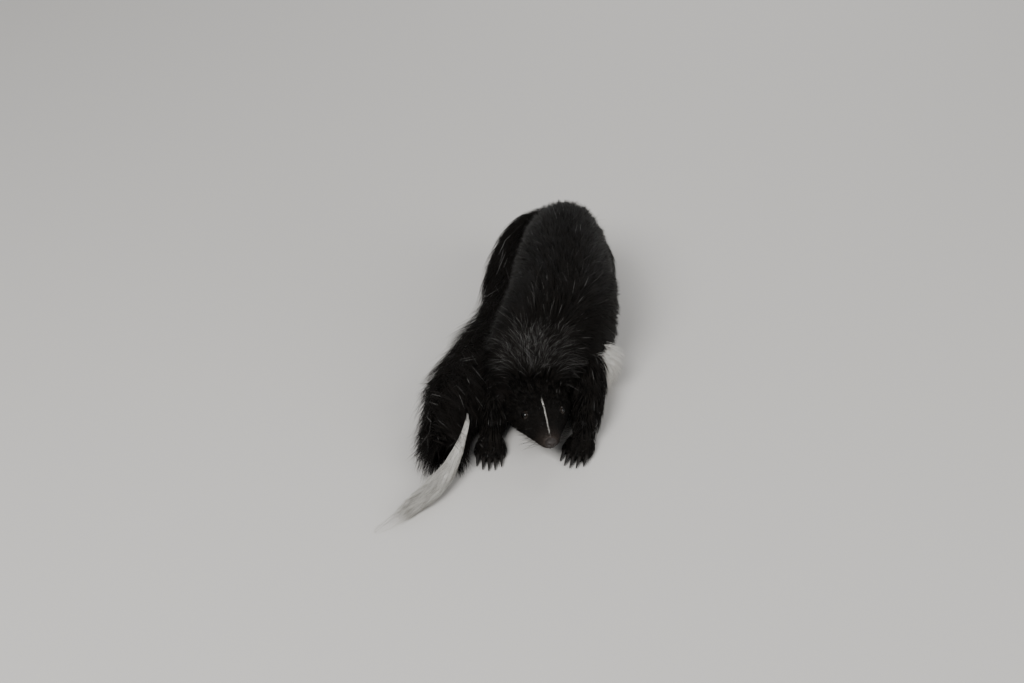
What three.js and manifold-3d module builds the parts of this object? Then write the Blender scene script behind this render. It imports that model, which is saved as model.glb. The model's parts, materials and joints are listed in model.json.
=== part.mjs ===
// A striped skunk as a still, life-size model. It crouches low with its head turned a little to its left,
// and its bushy tail is brought forward along its right side, ending in a long white tuft.
// Millimetres. +Z is up, -Y is ahead of the animal and +X is to its left. The floor is z = 0.
import * as THREE from "three";
import { mergeVertices } from "three/addons/utils/BufferGeometryUtils.js";
import Module from "manifold-3d";

const wasm = await Module();
wasm.setup();

const { degToRad, lerp, clamp } = THREE.MathUtils;
const vector = (x, y, z) => new THREE.Vector3(x, y, z);
const UP = vector(0, 0, 1);
const RIGHT_AND_LEFT = [["right", -1], ["left", 1]];

// Driving dimensions

const GAP = 0.35; // between two nodes that touch
const FAR = 500; // past everything

// The head: where its nose tip is and how it is turned
const NOSE_TIP = vector(0, -7, 22);
const HEAD_YAW = 12;
const HEAD_RISE = 1;
// Behind the nose tip, half width, height over the axis, depth under it
const HEAD_SECTIONS = [
  [1.5, 3.9, 2.4, 3.4],
  [7, 6.8, 5.5, 7.2],
  [16, 10.6, 10, 10.8],
  [27, 16.5, 16.2, 13.4],
  [40, 22.5, 20.2, 16],
  [54, 27.5, 22.8, 17.5],
  [68, 29.5, 24.5, 18],
  [84, 27, 24, 18],
];
const HEAD_ENDS = [1.5, 84];
const HEAD_ROUND = [6, 12]; // how far from its front and rear end the head rounds off
const HEAD_SHARE = 0.9; // below 1 the section is fuller than an oval
const HEAD_PART = 66; // how far behind the nose tip the head meets the neck
// Behind the nose tip, degrees up from the side, reach along, reach around in degrees, rise
const HEAD_BUMPS = [
  [25, 66, 6, 20, 1.2],
  [20, 30, 5, 20, -1.3],
  [46, -15, 12, 35, 2],
  [11, -12, 6, 30, 1],
];
const NOSE = { back: 4, up: 0.5, half_width: 4.7, half_height: 3.9, half_length: 4 };
const NOSTRIL = { side: 2.2, back: 0.9, up: 0.3, half_width: 1.2, half_depth: 2, half_height: 0.9 };
const NOSE_GROOVE = { back: 0.2, up: -2.6, half_width: 0.5, half_depth: 1.4, half_height: 3.4 };
const EYE = { back: 30, turn: 34, radius: 3.8, proud: 1.7 };
const LID = { radius: 3.5, thick: 1, squash: 0.85 };
const LIP_TURN = 6; // degrees from the mouth's line up to the lip
const EAR = { back: 57, side: 26.5, up: 12.5, half_width: 9.8, half_height: 11, half_depth: 5, wall: 1.8 };
const EAR_CUP = 3; // how far ahead of the ear's middle the ball that hollows it lies
const EAR_TURN = 34;
const EAR_LEAN = 36;
// The line of the mouth: behind the nose tip, degrees up from the side
const MOUTH = [
  [5, -86],
  [8, -50],
  [16, -34],
  [26, -27],
  [35, -20],
];
const MOUTH_RADIUS = 0.8;
const LIP_RADIUS = 1.5;

// Neck and torso to the tips of the coat: place along Y, centre in X, half width, top, bottom
const BODY_SECTIONS = [
  [34, -9, 26, 41, 6],
  [50, -12, 31, 48, 5],
  [60, -13, 35, 57, 5],
  [70, -13, 39, 68, 5],
  [82, -10, 42, 78, 5],
  [97, -3, 45, 88, 4],
  [118, 5, 47, 97, 3.5],
  [145, 11, 45, 104, 3.5],
  [175, 12, 42, 108, 3.5],
  [205, 13, 38, 105, 4],
  [232, 14, 33, 95, 8],
  [254, 15, 26, 79, 16],
  [272, 15, 15, 60, 32],
];
const BODY_ENDS = [34, 273];
const BODY_PART = 80; // where the neck meets the torso
const BODY_INSET = 6.5; // from the tips of the coat down to the core that carries the locks
const BODY_LEVEL = 0.42; // the widest level, as a share of the height
const BODY_ROUND = 44; // radius that turns a length over the flank into an angle
const BODY_CAPS = [8, 14]; // how far from its front and rear end the body rounds off
const BODY_SHARE = 0.88; // below 1 the section is fuller than an oval

// Rows of locks: first and last place, rows, the degrees they span, locks in a row, and one lock's size
const COAT = {
  rows: { from: 93, to: 238, rows: 7, low: -22, high: 188, each: 8 },
  lock: { length: 52, width: 18, thick: 3.4, lift: 7.5, sink: 4, fall: 38 },
};
const RUFF = {
  rows: { from: 60, to: 72, rows: 2, low: -25, high: 205, each: 9 },
  lock: { length: 29, width: 14, thick: 3, lift: 8, sink: 4, fall: 30 },
};
// The white hair behind the left foreleg stands out sideways
const SIDE_TUFT = {
  rows: { from: 86, to: 103, rows: 2, low: -34, high: 0, each: 2 },
  lock: { length: 23, width: 16, thick: 4, lift: 19.5, sink: 4, fall: 50 },
};
const TAIL_COAT = {
  rows: [
    { from: 0.18, to: 0.37, rows: 3 },
    { from: 0.42, to: 0.67, rows: 4 },
    { from: 0.72, to: 0.96, rows: 4 },
  ],
  around: { low: -16, high: 160, each: 5 },
  lock: { length: 56, width: 15, thick: 3.2, lift: 14, sink: 5 },
  root: 0.5, // share of the lift beside the rump
  outer: 0.4, // share by which it is lifted more on the outer side of the last length
  last: 0.9, // past this share of the line the locks are shorter
};
const TUFT_COAT = {
  rows: { from: 0.12, to: 0.76, rows: 4, low: -25, high: 205, each: 3 },
  lock: { length: 42, width: 9, thick: 2.2, lift: 4.5, sink: 2.5 },
};
const LEG_COAT = {
  rows: { from: 0.4, to: 0.6, rows: 2, low: 10, high: 190, each: 2 },
  lock: { length: 26, width: 10, thick: 2.6, lift: 4.5, sink: 4 },
};

const LEG_INSET = 2; // from the legs' outline down to the core that carries the locks

// Legs: line from inside the torso to the foot, radius at each point
const FORELEGS = {
  right: [[-30, 112, 44, 20], [-40, 84, 28, 18], [-44, 56, 20, 15], [-46, 34, 12, 12], [-46.5, 20, 8, 8]],
  left: [[16, 112, 44, 20], [27, 84, 28, 18], [29, 56, 20, 14.5], [27, 34, 12, 11.5], [25, 22, 8, 8]],
};
const THIGHS = {
  right: [[4, 236, 54, 22], [-5, 212, 43, 21], [-9, 187, 29, 17]],
  left: [[24, 236, 54, 24], [34, 212, 43, 24], [40, 186, 29, 18]],
};
const SHANKS = {
  right: [[-9, 184, 26, 16], [-9, 207, 17, 14], [-9, 228, 13, 11]],
  left: [[41, 184, 26, 17], [41, 207, 17, 15], [40, 228, 13, 11]],
};
// Feet: centre of the sole, the way the toes point in degrees from straight ahead
const FOREFEET = {
  right: { x: -47, y: 17, aim: -3 },
  left: { x: 23, y: 19, aim: -20 },
};
const HINDFEET = {
  right: { x: -9, y: 200, aim: 3 },
  left: { x: 43, y: 198, aim: 8 },
};
const FOREFOOT = {
  half_width: 11,
  half_length: 14,
  height: 12,
  toe: 9,
  toe_radius: 3.1,
  spread: 4.5,
  arc: 5.5,
};
const HINDFOOT = {
  half_width: 10.5,
  half_length: 30,
  height: 11,
  toe: 8,
  toe_radius: 3,
  spread: 4.2,
  arc: 5,
};
const FORECLAW = { length: 12.5, radius: 1.5, sink: 3.5, tip: 0.8 };
const HINDCLAW = { length: 8, radius: 1.4, sink: 3, tip: 0.8 };

// The tail: line and radius of the core that carries the locks
const TAIL = [
  [16, 248, 58, 13],
  [8, 270, 52, 13],
  [-12, 276, 43, 13],
  [-29, 256, 33, 13],
  [-36, 222, 22, 13.5],
  [-38, 184, 14, 14],
  [-46, 148, 13, 14.5],
  [-60, 112, 13.5, 15],
  [-71, 76, 13.5, 15],
  [-76, 44, 12.5, 13.5],
  [-77, 13, 10, 8],
];
const TAIL_PARTS = [0, 0.4, 0.7, 1]; // where its lengths part, as shares of the line
const TUFT_CORE = 0.62; // share of the tuft's radius that its core takes
const TUFT = [
  [-66, 40, 21, 4.5],
  [-65, 17, 27.5, 5],
  [-70, -5, 22, 7],
  [-79, -25, 12.5, 8.5],
  [-92, -43, 7.5, 8.5],
  [-105, -57, 5, 7],
  [-112, -63.5, 3, 4],
];

// Looks

const LOOKS = {
  black_coat: { color: "#1b1714", roughness: 0.75, metalness: 0 },
  white_coat: { color: "#d9d3c8", roughness: 0.8, metalness: 0 },
  ear_skin: { color: "#2a2320", roughness: 0.7, metalness: 0 },
  eye: { color: "#0b0908", roughness: 0.08, metalness: 0 },
  nose_skin: { color: "#3a2c26", roughness: 0.45, metalness: 0 },
  claw_horn: { color: "#4b4138", roughness: 0.4, metalness: 0 },
};

// Closed forms

// The geometry as one closed solid, turned the right way out
function solidOf(geometry, nearest = 1e-4) {
  geometry.deleteAttribute("normal");
  geometry.deleteAttribute("uv");
  const joined = mergeVertices(geometry, nearest);
  const spots = joined.attributes.position;
  const corners = [];
  let volume = 0;
  const [a, b, c] = [vector(), vector(), vector()];
  for (let i = 0; i < joined.index.count; i += 3) {
    const [p, q, r] = [0, 1, 2].map((k) => joined.index.getX(i + k));
    if (p === q || q === r || r === p) continue;
    corners.push([p, q, r]);
    a.fromBufferAttribute(spots, p);
    b.fromBufferAttribute(spots, q);
    c.fromBufferAttribute(spots, r);
    volume += a.dot(b.cross(c));
  }
  const outward = volume < 0 ? corners.map(([p, q, r]) => [p, r, q]) : corners;
  return new wasm.Manifold(new wasm.Mesh({
    numProp: 3,
    vertProperties: new Float32Array(spots.array),
    triVerts: new Uint32Array(outward.flat()),
  }));
}

// A ball's rings become the sections along a path, its poles the two ends
function closedForm(around, along, place) {
  const geometry = new THREE.SphereGeometry(1, around, along);
  const spots = geometry.attributes.position;
  for (let i = 0; i < spots.count; i += 1) {
    const ring = Math.floor(i / (around + 1));
    const spot = place(ring / along, (2 * Math.PI * (i % (around + 1))) / around);
    spots.setXYZ(i, spot.x, spot.y, spot.z);
  }
  return solidOf(geometry);
}

function ball(around, along, radii, matrix) {
  const geometry = new THREE.SphereGeometry(1, around, along);
  geometry.scale(...radii);
  geometry.applyMatrix4(matrix);
  return solidOf(geometry);
}

function block(low, high) {
  const size = high.clone().sub(low);
  const geometry = new THREE.BoxGeometry(size.x, size.y, size.z);
  geometry.translate(...low.clone().add(high).multiplyScalar(0.5).toArray());
  return solidOf(geometry);
}

// A table's row at any place between its first and last, with smooth curves through the rows
function rowAt(table, place) {
  let i = 0;
  while (i < table.length - 2 && place > table[i + 1][0]) i += 1;
  const [first, second] = [table[i], table[i + 1]];
  const before = table[Math.max(i - 1, 0)];
  const after = table[Math.min(i + 2, table.length - 1)];
  const span = second[0] - first[0];
  const t = clamp((place - first[0]) / span, 0, 1);
  return first.map((value, k) => {
    const rise = ((second[k] - before[k]) / (second[0] - before[0])) * span;
    const fall = ((after[k] - first[k]) / (after[0] - first[0])) * span;
    const bend = (1 - t) * (1 - t) * t * rise - (1 - t) * t * t * fall;
    return value * (1 + 2 * t) * (1 - t) * (1 - t) + second[k] * t * t * (3 - 2 * t) + bend;
  });
}

const eased = (t) => (1 - Math.cos(Math.PI * t)) / 2;
const roundedEnd = (far, reach) => Math.sqrt(1 - clamp(1 - far / reach, 0, 0.999) ** 2);
const power = (value, share) => Math.sign(value) * Math.abs(value) ** share;

// A tube through points of [x, y, z, radius]; past its ends the line runs straight on
function tubeLine(points) {
  const curve = new THREE.CatmullRomCurve3(points.map(([x, y, z]) => vector(x, y, z)));
  const radii = points.map((point, i) => [i / (points.length - 1), point[3]]);
  const length = curve.getLength();
  const at = (t) => {
    const inside = clamp(t, 0, 1);
    const tangent = curve.getTangent(inside);
    const point = curve.getPoint(inside).addScaledVector(tangent, (t - inside) * length);
    const side = vector().crossVectors(tangent, UP).normalize();
    const over = vector().crossVectors(side, tangent);
    return { point, tangent, side, over, radius: rowAt(radii, inside)[1] };
  };
  return { at, length };
}

function onTube(line, t, angle, radius) {
  const { point, side, over } = line.at(t);
  return point.clone()
    .addScaledVector(side, radius * Math.cos(angle))
    .addScaledVector(over, radius * Math.sin(angle));
}

// The tube as a solid with round ends
function tube(points, around, along, grow) {
  const line = tubeLine(points);
  const [start, end] = [-grow / line.length, 1 + grow / line.length];
  return closedForm(around, along, (share, angle) => {
    const t = lerp(start, end, eased(share));
    const radius = line.at(t).radius + grow;
    const far = Math.min(t - start, end - t) * line.length;
    const cap = share === 0 || share === 1 ? 0 : roundedEnd(far + 0.01, radius);
    return onTube(line, t, angle, radius * cap);
  });
}

// Locks of hair

function seeded(seed) {
  let state = seed;
  return () => {
    state = (state * 1664525 + 1013904223) % 4294967296;
    return state / 4294967296;
  };
}

// Share of the length, share of the lift, share of the width, share of the thickness
const LOCK_STATIONS = [
  [-0.12, 0, 0, 0],
  [0.1, 0.2, 0.85, 1],
  [0.42, 0.62, 1, 0.9],
  [0.76, 0.93, 0.62, 0.7],
  [1, 1, 0, 0],
];
const LOCK_SIDES = 3; // a ridge on top and two edges below
const LOCK_LOWEST = 2.2; // a lock's middle stays this far over the floor

const random = seeded(11);
const either = () => 2 * random() - 1;

// Locks in staggered rows over a part of a surface; make gives the lock at a place
function lockRows({ from, to, rows, low, high, each }, make) {
  const locks = [];
  for (let row = 0; row < rows; row += 1) {
    for (let i = 0; i < each; i += 1) {
      const shift = (row % 2 === 0 ? 0.25 : 0.75) + 0.2 * either();
      const u = lerp(from, to, (row + 0.3 * either()) / Math.max(rows - 1, 1));
      locks.push(make(u, degToRad(lerp(low, high, (i + shift) / each))));
    }
  }
  return locks;
}

function varied(lock) {
  return {
    length: lock.length * (1 + 0.18 * either()),
    width: lock.width * (1 + 0.15 * either()),
    thick: lock.thick,
    lift: lock.lift * (1 + 0.25 * either()),
    sink: lock.sink,
  };
}

// A lock along a tube's line, running on past its end where it is long enough
function tubeLock(line, size, u, v) {
  const lock = varied(size);
  return { ...lock, u, v, unit: 1 / line.length, du: lock.length / line.length, dv: 0.3 * either() };
}

// A flat, tapered lock that leaves the surface at u, v and follows it for du, dv while it lifts
function lockOn(surface, lock, grow) {
  const step = 0.01;
  const rings = LOCK_STATIONS.map(([far, high, wide, thick], i) => {
    const [u, v] = [lock.u + lock.du * far, lock.v + lock.dv * far];
    const point = surface(u, v);
    const across = surface(u, v + step).sub(point);
    const ahead = surface(u + step * lock.unit, v).sub(point);
    const normal = vector().crossVectors(ahead, across).normalize();
    point.addScaledVector(normal, i === 0 ? -lock.sink : high * lock.lift);
    point.z = Math.max(point.z, LOCK_LOWEST);
    return { point, normal, wide: wide * lock.width, thick: thick * lock.thick };
  });
  const last = rings.length - 1;
  return closedForm(LOCK_SIDES, last, (share, angle) => {
    const i = Math.round(share * last);
    const { point, normal, wide, thick } = rings[i];
    if (i === 0 || i === last) {
      const inward = rings[i === 0 ? 1 : last - 1].point.clone().sub(point).normalize();
      return point.clone().addScaledVector(inward, -2 * grow);
    }
    const ahead = rings[i + 1].point.clone().sub(rings[i - 1].point);
    const side = vector().crossVectors(ahead, normal).normalize();
    const over = vector().crossVectors(side, ahead).normalize();
    return point.clone()
      .addScaledVector(side, (wide / 2 + 5 * grow) * Math.sin(angle))
      .addScaledVector(over, (thick / 2 + 2 * grow) * Math.cos(angle));
  });
}

function withLocks(core, surface, locks, grow) {
  return wasm.Manifold.union([core, ...locks.map((lock) => lockOn(surface, lock, grow))]);
}

// The head

const headMatrix = new THREE.Matrix4()
  .makeTranslation(NOSE_TIP.x, NOSE_TIP.y, NOSE_TIP.z)
  .multiply(new THREE.Matrix4().makeRotationZ(degToRad(HEAD_YAW)))
  .multiply(new THREE.Matrix4().makeRotationX(degToRad(-HEAD_RISE)));

// A spot on the head, in its own frame: x to its left, y back from the nose tip, z up
function headSpot(back, angle, grow = 0) {
  const [, half, over, under] = rowAt(HEAD_SECTIONS, back);
  const lift = THREE.MathUtils.radToDeg(Math.atan2(Math.sin(angle), Math.abs(Math.cos(angle))));
  let rise = grow;
  for (const [at, turn, along, around, high] of HEAD_BUMPS) {
    rise += high * Math.exp(-(((back - at) / along) ** 2) - ((lift - turn) / around) ** 2);
  }
  const cap = Math.min(
    roundedEnd(back - HEAD_ENDS[0] + grow, HEAD_ROUND[0]),
    roundedEnd(HEAD_ENDS[1] - back + grow, HEAD_ROUND[1]),
  );
  const height = Math.sin(angle) > 0 ? over : under;
  return vector(
    cap * (half + rise) * power(Math.cos(angle), HEAD_SHARE),
    back,
    cap * (height + rise) * power(Math.sin(angle), HEAD_SHARE),
  );
}

function headNormal(back, angle) {
  const spot = headSpot(back, angle);
  const along = headSpot(back + 0.1, angle).sub(spot);
  const around = headSpot(back, angle + 0.01).sub(spot);
  return vector().crossVectors(along, around).normalize();
}

// A side's angle on the head for degrees up from that side
const headAngle = (side, turn) => (side > 0 ? degToRad(turn) : Math.PI - degToRad(turn));

function eyeMatrix(side) {
  const angle = headAngle(side, EYE.turn);
  const normal = headNormal(EYE.back, angle);
  const centre = headSpot(EYE.back, angle).addScaledVector(normal, EYE.proud - EYE.radius);
  const turn = new THREE.Quaternion().setFromUnitVectors(UP, normal);
  return headMatrix.clone().multiply(new THREE.Matrix4().compose(centre, turn, vector(1, 1, 1)));
}

function eye(side, grow) {
  const radius = EYE.radius + grow;
  return ball(12, 8, [radius, radius, radius], eyeMatrix(side));
}

function lids(side) {
  const ring = new THREE.TorusGeometry(LID.radius, LID.thick, 5, 10);
  ring.scale(1, LID.squash, 1);
  ring.translate(0, 0, EYE.radius - EYE.proud);
  ring.applyMatrix4(eyeMatrix(side));
  return solidOf(ring);
}

// The mouth's line or a lip along it, as a thin tube on the surface of the head
function mouthLine(side, shift, radius) {
  const points = MOUTH.map(([back, turn]) => {
    const spot = headSpot(back, headAngle(side, turn + shift)).applyMatrix4(headMatrix);
    return [spot.x, spot.y, spot.z, radius];
  });
  return tube(points, 6, 7, 0);
}

function head(grow) {
  const [front, rear] = HEAD_ENDS;
  const skull = closedForm(22, 18, (share, angle) => {
    const back = lerp(front - grow, rear + grow, eased(share));
    const end = share === 0 || share === 1;
    return end ? vector(0, back, 0) : headSpot(back, angle, grow);
  });
  const face = skull
    .intersect(block(vector(-FAR, -FAR, -FAR), vector(FAR, HEAD_PART + grow, FAR)))
    .transform(headMatrix.elements);
  if (grow > 0) return face;
  const added = RIGHT_AND_LEFT.flatMap(([, side]) => [
    lids(side),
    mouthLine(side, LIP_TURN, LIP_RADIUS),
  ]);
  const cut = RIGHT_AND_LEFT.map(([, side]) => mouthLine(side, 0, MOUTH_RADIUS));
  return wasm.Manifold.union([face, ...added]).subtract(wasm.Manifold.union(cut));
}

function nose(grow) {
  const placed = (x, y, z) => headMatrix.clone().multiply(new THREE.Matrix4().makeTranslation(x, y, z));
  const radii = [NOSE.half_width + grow, NOSE.half_length + grow, NOSE.half_height + grow];
  const pad = ball(12, 8, radii, placed(0, NOSE.back, NOSE.up));
  if (grow > 0) return pad;
  const hollow = (size, x) => {
    const half = [size.half_width, size.half_depth, size.half_height];
    return ball(6, 5, half, placed(x, size.back, size.up));
  };
  const holes = RIGHT_AND_LEFT.map(([, side]) => hollow(NOSTRIL, side * NOSTRIL.side));
  return pad.subtract(wasm.Manifold.union([...holes, hollow(NOSE_GROOVE, 0)]));
}

function ear(side, grow) {
  const turn = new THREE.Matrix4()
    .makeTranslation(side * EAR.side, EAR.back, EAR.up)
    .multiply(new THREE.Matrix4().makeRotationZ(degToRad(side * EAR_TURN)))
    .multiply(new THREE.Matrix4().makeRotationY(degToRad(side * EAR_LEAN)));
  const matrix = headMatrix.clone().multiply(turn);
  const radii = [EAR.half_width, EAR.half_depth, EAR.half_height];
  const shell = ball(12, 8, radii.map((radius) => radius + grow), matrix);
  if (grow > 0) return shell;
  const inner = [EAR.half_width - EAR.wall, EAR.half_depth, EAR.half_height - EAR.wall];
  const forward = new THREE.Matrix4().makeTranslation(0, -EAR_CUP, 0);
  return shell.subtract(ball(10, 7, inner, matrix.clone().multiply(forward)));
}

// Neck and torso

function bodySpot(y, angle, inset) {
  const place = clamp(y, BODY_ENDS[0], BODY_ENDS[1] - 0.2);
  const [, x, half, top, bottom] = rowAt(BODY_SECTIONS, place);
  const level = bottom + (top - bottom) * BODY_LEVEL;
  const cap = Math.min(
    roundedEnd(y - BODY_ENDS[0] - inset, BODY_CAPS[0]),
    roundedEnd(BODY_ENDS[1] - inset - y, BODY_CAPS[1]),
  );
  const height = Math.sin(angle) > 0 ? top - inset - level : level - bottom - Math.min(inset, 1);
  return vector(
    x + cap * (half - inset) * power(Math.cos(angle), BODY_SHARE),
    y,
    level + cap * height * power(Math.sin(angle), BODY_SHARE),
  );
}

function body(inset, from, to) {
  const [start, end] = BODY_ENDS;
  const whole = closedForm(24, 18, (share, angle) => {
    const y = lerp(start + inset, end - inset, eased(share));
    const spot = bodySpot(y, angle, inset);
    if (share > 0 && share < 1) return spot;
    const [, x, , top, bottom] = rowAt(BODY_SECTIONS, y);
    return vector(x, y, bottom + (top - bottom) * BODY_LEVEL);
  });
  return whole.intersect(block(vector(-FAR, from, -FAR), vector(FAR, to, FAR)));
}

// A lock on the body lies back along it and falls down its sides
function bodyLock(size, u, v) {
  const lock = varied(size);
  const slope = degToRad(-Math.cos(v) * size.fall + 12 * either());
  const du = Math.min(lock.length * Math.cos(slope), BODY_ENDS[1] - 4 - u);
  return { ...lock, u, v, unit: 1, du, dv: (lock.length * Math.sin(slope)) / BODY_ROUND };
}

const coatSurface = (y, angle) => bodySpot(y, angle, BODY_INSET);
const coatLocks = [
  ...lockRows(COAT.rows, (u, v) => bodyLock(COAT.lock, u, v)),
  ...lockRows(SIDE_TUFT.rows, (u, v) => bodyLock(SIDE_TUFT.lock, u, v)),
];
const ruffLocks = lockRows(RUFF.rows, (u, v) => bodyLock(RUFF.lock, u, v));

// The ruff's locks stay whole, and the torso's coat is cut clear of them
function neck(grow) {
  const behind = block(vector(-FAR, HEAD_PART + GAP - grow, -FAR), vector(FAR, FAR, FAR))
    .transform(headMatrix.elements);
  const core = body(BODY_INSET - grow, -FAR, BODY_PART + grow);
  return withLocks(core, coatSurface, ruffLocks, grow).intersect(behind);
}

function torso(grow) {
  return withLocks(body(BODY_INSET - grow, BODY_PART + GAP - grow, FAR), coatSurface, coatLocks, grow);
}

// Legs and feet

const tubeSurface = (line, inset) => (t, angle) => onTube(line, t, angle, line.at(t).radius - inset);

// The forelegs' cores and the locks over them
const forelegCoats = {};
for (const [name] of RIGHT_AND_LEFT) {
  const line = tubeLine(FORELEGS[name]);
  const locks = lockRows(LEG_COAT.rows, (u, v) => tubeLock(line, LEG_COAT.lock, u, v));
  forelegCoats[name] = { surface: tubeSurface(line, LEG_INSET), locks };
}

// A leg is cut off where it meets the torso's core; what is grown stays just clear of that core
const CLEAR = 0.05;
const offTorso = (leg, grow) => leg.subtract(body(BODY_INSET - (grow > 0 ? CLEAR : GAP), -FAR, FAR));

function foreleg(name, grow) {
  const { surface, locks } = forelegCoats[name];
  const core = tube(FORELEGS[name], 10, 8, grow - LEG_INSET);
  return offTorso(withLocks(core, surface, locks, grow), grow);
}

function hindleg(name, grow) {
  const thigh = tube(THIGHS[name], 10, 7, grow);
  return offTorso(thigh.add(tube(SHANKS[name], 8, 5, grow)), grow);
}

const footMatrix = (foot) => new THREE.Matrix4()
  .makeTranslation(foot.x, foot.y, 0)
  .multiply(new THREE.Matrix4().makeRotationZ(degToRad(foot.aim)));

const TOES = [-2, -1, 0, 1, 2];
const toeFront = (size, toe) => -size.half_length - size.toe + 4 + (size.arc * toe * toe) / 4;

function foot(place, size, grow) {
  const matrix = footMatrix(place);
  const at = (x, y, z) => matrix.clone().multiply(new THREE.Matrix4().makeTranslation(x, y, z));
  const high = size.height / 2;
  const sole = ball(
    10,
    7,
    [size.half_width + grow, size.half_length + grow, high + 1 + grow],
    at(0, 0, high - 1),
  );
  const toes = TOES.map((toe) => ball(
    6,
    5,
    [size.toe_radius + grow, size.toe + grow, size.toe_radius + 1 + grow],
    at(toe * size.spread, toeFront(size, toe) + size.toe, size.toe_radius),
  ));
  return wasm.Manifold.union([sole, ...toes]);
}

// A claw leaves the end of its toe and curves down to just over the floor
function claw(place, size, horn, toe, grow) {
  const matrix = footMatrix(place);
  const front = toeFront(size, toe) + horn.sink;
  const x = toe * size.spread;
  const line = [
    [x, front, size.toe_radius + 1, horn.radius * 0.7],
    [x, front - horn.sink, size.toe_radius + 0.9, horn.radius],
    [x * 1.04, front - horn.length * 0.7, size.toe_radius - 0.3, horn.radius * 0.66],
    [x * 1.06, front - horn.length, horn.tip + 0.3, 0.3],
  ];
  const points = line.map(([px, py, pz, radius]) => {
    const spot = vector(px, py, pz).applyMatrix4(matrix);
    return [spot.x, spot.y, spot.z, radius];
  });
  return tube(points, 4, 4, grow);
}

// The tail

const tailLine = tubeLine(TAIL);

// The space ahead of a place on the tail's line
function aheadOf(t) {
  const { point, tangent, side, over } = tailLine.at(t);
  const turn = new THREE.Matrix4().makeBasis(tangent, side.negate(), over).setPosition(point);
  return block(vector(0, -FAR, -FAR), vector(FAR, FAR, FAR)).transform(turn.elements);
}

// Towards the rump the tail's hair is shorter and lies closer
function tailLock(u, v) {
  const lock = tubeLock(tailLine, TAIL_COAT.lock, u, v);
  const share = lerp(TAIL_COAT.root, 1, THREE.MathUtils.smoothstep(u, 0.15, 0.62));
  const outer = TAIL_COAT.outer * THREE.MathUtils.smoothstep(u, 0.6, 0.85) * Math.max(Math.cos(v), 0);
  const close = u > TAIL_COAT.last ? 0.75 : 1;
  return { ...lock, lift: lock.lift * (share + outer), du: lock.du * lerp(1, share, 0.4) * close };
}

// Each length's locks reach on over the next length, whose coat is cut clear of them
const tailLocks = TAIL_COAT.rows.map((rows) => lockRows({ ...TAIL_COAT.around, ...rows }, tailLock));

function tailPiece(index, grow) {
  const [from, to] = [TAIL_PARTS[index], TAIL_PARTS[index + 1]];
  const half = (GAP / 2 - grow) / tailLine.length;
  let core = tube(TAIL, 10, 22, grow);
  if (from > 0) core = core.intersect(aheadOf(from + half));
  if (to < 1) core = core.subtract(aheadOf(to - half));
  return withLocks(core, tubeSurface(tailLine, 0), tailLocks[index], grow);
}

const tuftCore = TUFT.map(([x, y, z, radius]) => [x, y, z, radius * TUFT_CORE]);
const tuftLine = tubeLine(tuftCore);
const tuftLocks = lockRows(TUFT_COAT.rows, (u, v) => tubeLock(tuftLine, TUFT_COAT.lock, u, v));

function tuft(grow) {
  const core = tube(tuftCore, 8, 8, grow);
  return withLocks(core, tubeSurface(tuftLine, 0), tuftLocks, grow);
}

// All nodes: one that comes earlier keeps its form, and the later ones are cut clear of it

const claws = [];
for (const [name] of RIGHT_AND_LEFT) {
  TOES.forEach((toe, i) => {
    claws.push([`foreclaw_${name}_${i + 1}`, "claw_horn", (grow) => (
      claw(FOREFEET[name], FOREFOOT, FORECLAW, toe, grow)
    )]);
    claws.push([`hindclaw_${name}_${i + 1}`, "claw_horn", (grow) => (
      claw(HINDFEET[name], HINDFOOT, HINDCLAW, toe, grow)
    )]);
  });
}
const bothSides = (node, look, form) => RIGHT_AND_LEFT.map(([name, side]) => (
  [`${node}_${name}`, look, (grow) => form(name, side, grow)]
));
const NODES = [
  ["nose", "nose_skin", nose],
  ...bothSides("eye", "eye", (name, side, grow) => eye(side, grow)),
  ["head", "black_coat", head],
  ...bothSides("ear", "ear_skin", (name, side, grow) => ear(side, grow)),
  ...bothSides("forefoot", "black_coat", (name, side, grow) => foot(FOREFEET[name], FOREFOOT, grow)),
  ...bothSides("hindfoot", "black_coat", (name, side, grow) => foot(HINDFEET[name], HINDFOOT, grow)),
  ...claws,
  ...bothSides("foreleg", "black_coat", (name, side, grow) => foreleg(name, grow)),
  ...bothSides("hindleg", "black_coat", (name, side, grow) => hindleg(name, grow)),
  ["neck", "black_coat", neck],
  ["torso", "black_coat", torso],
  ["tail_tip", "white_coat", tuft],
  ["tail_base", "black_coat", (grow) => tailPiece(0, grow)],
  ["tail_middle", "black_coat", (grow) => tailPiece(1, grow)],
  ["tail_end", "black_coat", (grow) => tailPiece(2, grow)],
];

function apart(first, second) {
  const [a, b] = [first.boundingBox(), second.boundingBox()];
  return [0, 1, 2].some((k) => a.min[k] > b.max[k] || b.min[k] > a.max[k]);
}

function largest(solid) {
  return solid.decompose().sort((a, b) => b.volume() - a.volume())[0];
}

function geometryOf(solid) {
  const { vertProperties, triVerts } = solid.getMesh();
  const geometry = new THREE.BufferGeometry();
  geometry.setAttribute("position", new THREE.Float32BufferAttribute(vertProperties, 3));
  geometry.setIndex(Array.from(triVerts));
  return geometry;
}

const MERGE = 1e-3; // vertices nearer than this become one
const SMOOTH = 0.12; // the most a vertex that is left out may lie off its neighbours' plane

const aboveFloor = block(vector(-FAR, -FAR, 0), vector(FAR, FAR, FAR));
const claimed = [];
const solids = [];
for (const [name, look, form] of NODES) {
  let solid = form(0).intersect(aboveFloor);
  for (const other of claimed) {
    if (!apart(solid, other)) solid = solid.subtract(other);
  }
  solid = solid.simplify(SMOOTH);
  for (const [, , done] of solids) {
    if (!apart(solid, done) && solid.intersect(done).volume() > 0) solid = solid.subtract(done);
  }
  solids.push([name, look, largest(solid)]);
  claimed.push(form(GAP));
}

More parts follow.
